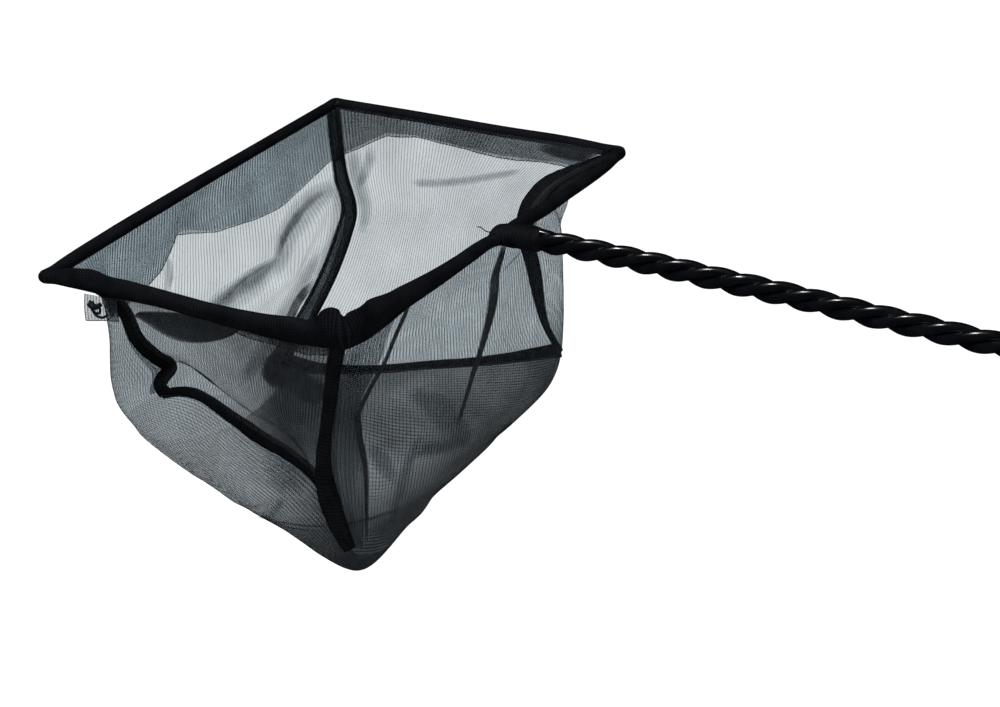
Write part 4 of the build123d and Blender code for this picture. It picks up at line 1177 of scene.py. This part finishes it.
def seam_band(name, line, normal, half, thick, slot, *nodes, pitch=1.15):
    """A rolled, overlocked seam: a soft flat core and the fine thread wound over it."""
    P = thinned(line, 0.45)
    n = len(P)
    q = np.linspace(0, 1, n)
    U = np.stack([np.interp(q, np.linspace(0, 1, len(normal)), normal[:, k]) for k in range(3)], 1)
    for _ in range(30):
        U[1:-1] = 0.25 * U[:-2] + 0.5 * U[1:-1] + 0.25 * U[2:]
    half, thick = np.asarray(half, float), np.asarray(thick, float)
    a = hermite(np.linspace(0, 1, len(half)), half, q) * (1 + 0.05 * noise1(q * lengths(P)[-1] * 2, 61))
    b = hermite(np.linspace(0, 1, len(thick)), thick, q)
    core = tube(P, a, 18, up=U, flat=b / a)
    T, U2, W = path_frames(P, U)
    s = lengths(P)
    threads = []
    for start in (0.0, math.pi):
        m = int(s[-1] / pitch * 12)
        t = np.linspace(0, s[-1], m)
        pick = lambda A: np.stack([np.interp(t, s, A[:, k]) for k in range(3)], 1)
        ang = 2 * math.pi * t / pitch * 0.5 + start
        ra, rb = np.interp(t, s, a) - 0.01, np.interp(t, s, b) - 0.01
        line2 = pick(P) + (np.sin(ang) * rb)[:, None] * pick(U2) + (np.cos(ang) * ra)[:, None] * pick(W)
        threads.append(tube(line2, 0.06, 5))
    o = on_bag(mesh_object(name, core, BAND), slot, *nodes)
    return o, threads


SL_N, SR_N = seam_normals(True), seam_normals(False)
overlock_corner, overlock_bottom, seam_pieces = [], [], {}
for name, line, nrm, half, thick, node, keep in (
    ("seam_band_left_handle", SEAM_L[: I4 + 1], SL_N[: I4 + 1], [2.0, 1.9, 1.8, 1.7, 1.75, 2.0, 2.6, 2.6, 1.6], [1.0, 0.9, 0.9, 1.0, 0.7], "seam_left_handle", overlock_corner),
    ("seam_band_left_bottom", SEAM_L[I4 : I7 + 1], SL_N[I4 : I7 + 1], [1.6, 2.4, 2.0, 1.9, 2.0, 1.8, 1.5, 1.4, 1.5], [0.7, 1.0, 1.1, 1.1, 1.0], "seam_left_bottom", overlock_bottom),
    ("seam_band_left_tip", SEAM_L[I7:], SL_N[I7:], [1.9, 2.1, 2.2, 2.1, 1.9, 1.7, 1.4], [1.2, 1.3, 1.2, 0.9], "seam_left_tip", overlock_corner),
    ("seam_band_right_handle", SEAM_R[: I4 + 1], SR_N[: I4 + 1], [1.6, 2.9, 3.4, 3.3, 2.9, 2.6, 2.2, 1.8, 1.7], [0.9, 0.9, 0.8], "seam_right_handle", overlock_corner),
    ("seam_band_right_bottom", SEAM_R[I4 : I7 + 1], SR_N[I4 : I7 + 1], [2.4, 1.7, 1.5, 1.4, 1.3, 1.4, 1.7, 2.6], [0.9, 0.8, 1.0], "seam_right_bottom", overlock_bottom),
    ("seam_band_right_tip", SEAM_R[I7:], SR_N[I7:], [2.0, 1.3, 1.0, 0.8, 0.7, 0.62, 0.6, 0.6, 0.62, 0.68, 0.8, 0.9], [0.8, 0.6, 0.6, 0.7], "seam_right_tip", overlock_corner),
):
    o, threads = seam_band(name, line, nrm, half, thick, "seam_mesh", node)
    seam_pieces[name] = o
    keep += threads
on_bag(mesh_object("overlock_corners", join_parts(overlock_corner), SEWING), "sewing_thread", "corner_seam_thread")
on_bag(mesh_object("overlock_bottom", join_parts(overlock_bottom), SEWING), "sewing_thread", "bottom_seam_thread")


def allowance(name, t0, t1, left, wide, off, seed, node, close=0.9):
    """The two cut edges beside a seam, pressed to one side: netting again, close inside."""
    if np.ndim(wide):
        wide = np.array(wide, float)
        close = WALE
    else:
        wide = np.array([(t0, wide), (t1, wide)], float)
    nr, nc = int((t1 - t0) / COURSE), max(3, int(wide[:, 1].max() / close))
    T = np.linspace(t0, t1, nr)[:, None]
    x = np.linspace(0.2, 1, nc)[None] * np.interp(T, wide[:, 0], wide[:, 1]) * (1 + 0.02 * noise1(T, seed))
    X = x if left else WIDTH - x
    P, N = strip_points(T + 0 * X, X, -(off + 0.05 * x))
    return net_piece(name, P, N, seed, node, sheer=SHEER_EDGE)


t4, t7, t11 = station_t(4), station_t(7), GRID_T[-1]
seam_edges = [
    allowance("seam_edge_left_handle_1", 0.5, t4 - 2, True, thin, 0.55, 71, "seam_left_handle"),
    allowance("seam_edge_left_handle_2", 0.5, t4 - 2, True, 4.4, 1.05, 72, "seam_left_handle"),
    allowance("seam_edge_right_tip_1", t7 + 2, t11 - 0.5, False, 4.6, 0.5, 73, "seam_right_tip"),
    allowance("seam_edge_right_tip_2", t7 + 2, t11 - 0.5, False, 4.0, 0.9, 74, "seam_right_tip"),
    allowance("seam_edge_right_handle_1", 0.5, t4 - 2, False, 4.6, 0.5, 75, "seam_right_handle"),
    allowance("seam_edge_right_handle_2", 0.5, t4 - 2, False, 4.0, 0.9, 76, "seam_right_handle"),
    allowance("seam_edge_left_tip_1", t7 + 3, t11 - 0.5, True, 4.4, 0.5, 77, "seam_left_tip"),
]
# Where the hem is caught in the corner seams, the cloth is folded again and again.
far_corner = [
    ([(t11 - 0.2, WIDTH - 2.6), (t11 - 6.0, WIDTH - 2.6), (t11 - 12.2, WIDTH - 2.4)], [4.8, 4.9, 4.6], 0.36, -1.1 - 0.35 * k, 85 + k)
    for k in range(3)
] + [([(t11 - 12.0, WIDTH - 4.3), (t11 - 24.0, WIDTH - 4.2), (t7 + 8.0, WIDTH - 3.8)], [0.5, 0.6, 0.9], 0.24, -0.9, 88)]
def fin_points(T, w, off=0.0):
    """A standing edge on the far corner seam: w mm out from the seam, toward the tip side."""
    S = np.stack([np.interp(T, GRID_T, SEAM_R[:, k]) for k in range(3)], -1)
    out = np.array([-0.985, 0.05, -0.165])
    N = np.broadcast_to(np.array([0.05, 0.998, 0.0]), S.shape)
    return S + w[..., None] * out + N * np.asarray(off, float)[..., None], N


fin_t = np.linspace(t7 + 1.0, t11 - 1.0, 90)
fin_w = np.interp(fin_t, [t7, t7 + 6, t7 + 18, t7 + 34, t7 + 44, t7 + 56, t11], [7.5, 7.0, 6.6, 6.4, 5.2, 4.4, 4.2])
fin_q = np.linspace(0, 1, 7)[None]
fin_parts = []
for k in range(3):
    P, N = fin_points(fin_t[:, None] + 0 * fin_q, fin_w[:, None] * fin_q * (1 - 0.05 * k), (k - 1) * 0.35 + 0.25 * np.sin(fin_t[:, None] * 0.3 + k) * fin_q)
    fin_parts.append(ground(P, fin_w[:, None] * fin_q, fin_t[:, None] + 0 * fin_q))
seam_edges.append(on_bag(mesh_object("seam_edge_right_tip_out", join_parts(fin_parts), SHEER_EDGE), "bag_mesh", "seam_right_tip"))
fin_rim = [
    fold_net(fin_points, [(t7 + 1, 6.6), (t7 + 8, 6.2), (t7 + 20, 5.9), (t7 + 36, 5.4), (t7 + 46, 4.4), (t11 - 2, 3.6)], [1.6, 1.7, 1.8, 1.7, 1.4, 1.2], 0.3, 0.5 * k, 89 + k)
    for k in range(2)
]
seam_edges.append(on_bag(mesh_object("seam_edge_right_tip_rim", join_parts(fin_rim), FOLD), "bag_mesh", "seam_right_tip"))
handle_corner = [
    ([(0.4, WIDTH - 2.5), (6.0, WIDTH - 2.6), (14.0, WIDTH - 2.0), (24.0, WIDTH - 1.4)], [5.2, 5.4, 4.0, 1.2], 0.42, -1.0 - 0.35 * k, 91 + k)
    for k in range(2)
]
for name, folds, node in (("seam_fold_far", far_corner, "seam_right_tip"), ("seam_fold_handle", handle_corner, "seam_right_handle")):
    o = mesh_object(name, join_parts([fold_net(strip_points, *f) for f in folds]), FOLD)
    seam_edges.append(on_bag(o, "bag_mesh", node))


# -------------------------------------------------------------- stitches of the hem
def stitches(line, long, gap, r, normal_off):
    """Separate stitches along a line."""
    s = lengths(line)
    parts, at = [], 0.8
    while at + long < s[-1]:
        t = np.linspace(at, at + long, 7)
        P = np.stack([np.interp(t, s, line[:, k]) for k in range(3)], 1)
        h = np.sin(np.linspace(0, math.pi, 7)) * normal_off
        P[:, 2] += h
        parts.append(tube(P, r, 6))
        at += long + gap
    return parts


hem_stitches = []
for line in flap_lines[0::2]:
    hem_stitches += stitches(thinned(line, 0.6), 2.3, 0.5, 0.13, 0.12)
on_bag(mesh_object("hem_stitches", join_parts(hem_stitches), SEWING), "sewing_thread", "hem_thread")


# ------------------------------------------------- throat: the hem's ends tied to the wires
tack = []
for side in (-1, 1):
    route = rim_route(side)
    sr = lengths(route)
    here = sr[-1] + np.linspace(-0.2, -2.6, 90)
    C = np.stack([np.interp(here, sr, route[:, k]) for k in range(3)], 1)
    T, U, W = path_frames(C, np.array([0.0, 0.0, 1.0]))
    a = np.linspace(0, 2 * math.pi * 5, 90) + 0.6 * side
    r = (WIRE_R + 0.14 + 0.05 * np.sin(a * 0.7))[:, None]
    tack.append(tube(C + r * (np.cos(a)[:, None] * U + np.sin(a)[:, None] * W), 0.15, 7))
# the hem's two ends, gathered together over the wires and bound with thread
over = np.linspace(-1.2, 16.0, 70)
at6 = [-1.2, 1.0, 5.0, 10.0, 14.0, 16.0]
wrap_a = np.interp(over, at6, [3.9, 4.0, 3.75, 3.5, 3.35, 3.1]) * (1 + 0.05 * noise1(over * 7, 97))
wrap_b = np.interp(over, at6, [2.2, 2.6, 2.9, 3.2, 3.2, 3.0]) * (1 + 0.05 * noise1(over * 9, 98))
rise = np.interp(over, [0.0, 9.0, 16.0], [0.2, 0.82, 0.98])
wrap = rim_warp(THROAT0 + over[:, None] * AX + rise[:, None] * UPV)
o = mesh_object("hem_throat_gather", tube(wrap, wrap_a, 28, up=UPV, flat=wrap_b / wrap_a), CASING)
on_frame(o, "hem_mesh", "hem_handle_left", "hem_handle_right")
bind = np.linspace(12.4, 15.6, 160)
a = np.linspace(0, 2 * math.pi * 6, 160)
C = np.stack([np.interp(bind, over, wrap[:, k]) for k in range(3)], 1)
ra = (np.interp(bind, over, wrap_a) + 0.05)[:, None]
rb = (np.interp(bind, over, wrap_b) + 0.05)[:, None]
tack.append(tube(C + ra * np.cos(a)[:, None] * NV + rb * np.sin(a)[:, None] * UPV, 0.16, 7))
# one long stitch across the two ends, and the thread's loose tail
ends = [rim_warp(filleted([THROAT0 + AX * 6.5 + NV * s * HP, THROAT0 + NV * s * HP, (HALF_X, s * 20.0, 0)], [5.0], 0.4)) for s in (-1, 1)]
cross = through([ends[0][14] + (0, 0, 1.7), 0.5 * (ends[0][10] + ends[1][10]) + (0.3, 0, 1.9), ends[1][14] + (0, 0, 1.7)], 24)
tack.append(tube(cross, 0.16, 7))
tail = ends[0][16] + np.array([(0.3, 0.6, 1.5), (-0.5, -0.2, 2.2), (-1.6, -1.2, 2.9), (-2.6, -1.6, 3.9), (-3.0, -2.6, 4.4)])
tack.append(tube(through(tail, 30), np.linspace(0.17, 0.13, 30), 7))
on_frame(mesh_object("throat_tack_thread", join_parts(tack), SEWING), "sewing_thread", "throat_tack")

# --------------------------------------------------- the loose end of hem under the left side
TAB_X, TAB_Y, TAB_Z = -34.5, -65.2, -2.5
tab_u = np.arange(0.0, 10.9, 0.98)
tab_v = np.linspace(0, 1, 12)[:, None]
drop_at = 7.9 - 0.15 * tab_u[None]
tab_z = TAB_Z - tab_v * drop_at
tab_y = TAB_Y - 0.45 * np.sin(tab_v * 2.4) * (0.5 + 0.5 * np.cos(tab_u[None] * 0.5)) + 0.25 * tab_v**2
tab_x = TAB_X + 0.35 + tab_u[None] - 1.3 * tab_v * (1 - 0.06 * tab_u[None])
TAB_P = np.stack(np.broadcast_arrays(tab_x, tab_y, tab_z), -1)
TAB_N = unit(np.cross(np.gradient(TAB_P, axis=0), np.gradient(TAB_P, axis=1)))
tab_parts = [netting(TAB_P, TAB_N, knot=0.105, neck=0.05, rise=0.10, bar=0.030, seed=95, loose=0.03)]
border = np.concatenate([TAB_P[:, 0], TAB_P[-1, 1:], TAB_P[::-1, -1][1:]])
tab_parts.append(tube(evenly(border, 90), 0.11, 6))
o = mesh_object("loose_tab_net", join_parts(tab_parts), NET)
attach(o, "loose_tab")
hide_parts("hem_tab")
loose_tab_net = o
o = mesh_object("loose_tab_sheer", ground(TAB_P, tab_u[None] + 0 * tab_v, 8 * tab_v + 0 * tab_u[None]), SHEER)
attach(o, "loose_tab")
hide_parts("hem_tab")
TAB_0 = np.array([TAB_X, TAB_Y, TAB_Z])
curl = TAB_0 + np.array(
    [
        (2.6, -0.8, -1.4), (2.3, -0.9, -2.2), (2.9, -1.0, -3.6), (4.2, -1.1, -4.5), (5.4, -1.0, -4.2), (5.5, -0.8, -3.2), (4.6, -0.7, -2.5),
        (3.6, -0.9, -2.7), (3.4, -1.2, -3.6), (4.3, -1.4, -4.9), (6.0, -1.2, -5.4), (7.2, -0.9, -5.0), (7.9, -0.8, -4.4),
    ]
)
knot = TAB_0 + np.array([(2.4, -0.8, -2.0), (3.2, -1.0, -2.6), (4.2, -1.0, -2.8), (5.1, -0.9, -2.5), (5.8, -0.8, -2.0)])
o = mesh_object(
    "loose_tab_thread", join_parts([tube(through(curl, 120), 0.36, 9), tube(through(knot, 40), np.linspace(1.05, 0.8, 40), 12, flat=0.8)]), SEWING
)
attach(o, "loose_tab")
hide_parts("tab_knot")


# --------------------------------------------------------------- stage and light
scene = bpy.context.scene
floor_mesh = bpy.data.meshes.new("floor")
zf = -0.42
floor_mesh.from_pydata([(-6, -4, zf), (6, -4, zf), (6, 8, zf), (-6, 8, zf)], [], [(0, 1, 2, 3)])
floor = bpy.data.objects.new("floor", floor_mesh)
scene.collection.objects.link(floor)
fm = Nodes("pale_floor")
fm.put(
    Base_Color=fm.ramp(fm.noise(fm.coords(), 3.0, 2.0), [(0.3, (0.93, 0.935, 0.94)), (0.7, (0.96, 0.962, 0.965))]),
    Roughness=fm.span(fm.noise(fm.coords(), 40.0), 0.85, 0.95, 0.3, 0.7),
    Specular_IOR_Level=0.1,
)
floor_mesh.materials.append(fm.mat)
floor.visible_glossy = False

world = bpy.data.worlds.new("studio")
scene.world = world
world.use_nodes = True
bg = world.node_tree.nodes["Background"]
bg.inputs["Color"].default_value = (1.0, 1.0, 1.0, 1.0)
bg.inputs["Strength"].default_value = 1.06
world.cycles_visibility.glossy = False


def softbox(name, at, look, size, power, shape="RECTANGLE", size_y=None):
    light = bpy.data.lights.new(name, "AREA")
    light.shape = shape
    light.size = size
    light.size_y = size_y or size
    light.energy = power
    o = bpy.data.objects.new(name, light)
    o.location = at
    o.rotation_euler = (Vector(look) - Vector(at)).to_track_quat("-Z", "Y").to_euler()
    scene.collection.objects.link(o)
    return o


softbox("key", (-0.32, -0.22, 0.95), (-0.08, 0.0, 0.0), 0.34, 7.0, size_y=0.10)
softbox("fill", (0.75, -0.70, 0.60), (-0.1, 0.0, 0.0), 0.3, 1.1)

# ----------------------------------------------------------------------- camera
cam = bpy.data.cameras.new("camera")
cam.sensor_width = 36.0
cam.sensor_fit = "HORIZONTAL"
cam.lens = 97.2
cam.clip_start, cam.clip_end = 0.01, 50.0
co = bpy.data.objects.new("camera", cam)
right = np.array([0.82861, 0.55015, -0.10361])
down = np.array([0.15617, -0.40488, -0.90093])
fwd = np.array([-0.5376, 0.73034, -0.42141])
shift = np.array([-43.07, -38.779, 723.955])
eye = -(right * shift[0] + down * shift[1] + fwd * shift[2])
right, fwd = right / np.linalg.norm(right), fwd / np.linalg.norm(fwd)
down = np.cross(fwd, right)
M = Matrix(
    [
        [right[0], -down[0], -fwd[0], 0],
        [right[1], -down[1], -fwd[1], 0],
        [right[2], -down[2], -fwd[2], 0],
        [0, 0, 0, 1],
    ]
)
M.translation = Vector(placed(eye))
co.matrix_world = M
scene.collection.objects.link(co)
scene.camera = co
scene.view_settings.view_transform = "Standard"
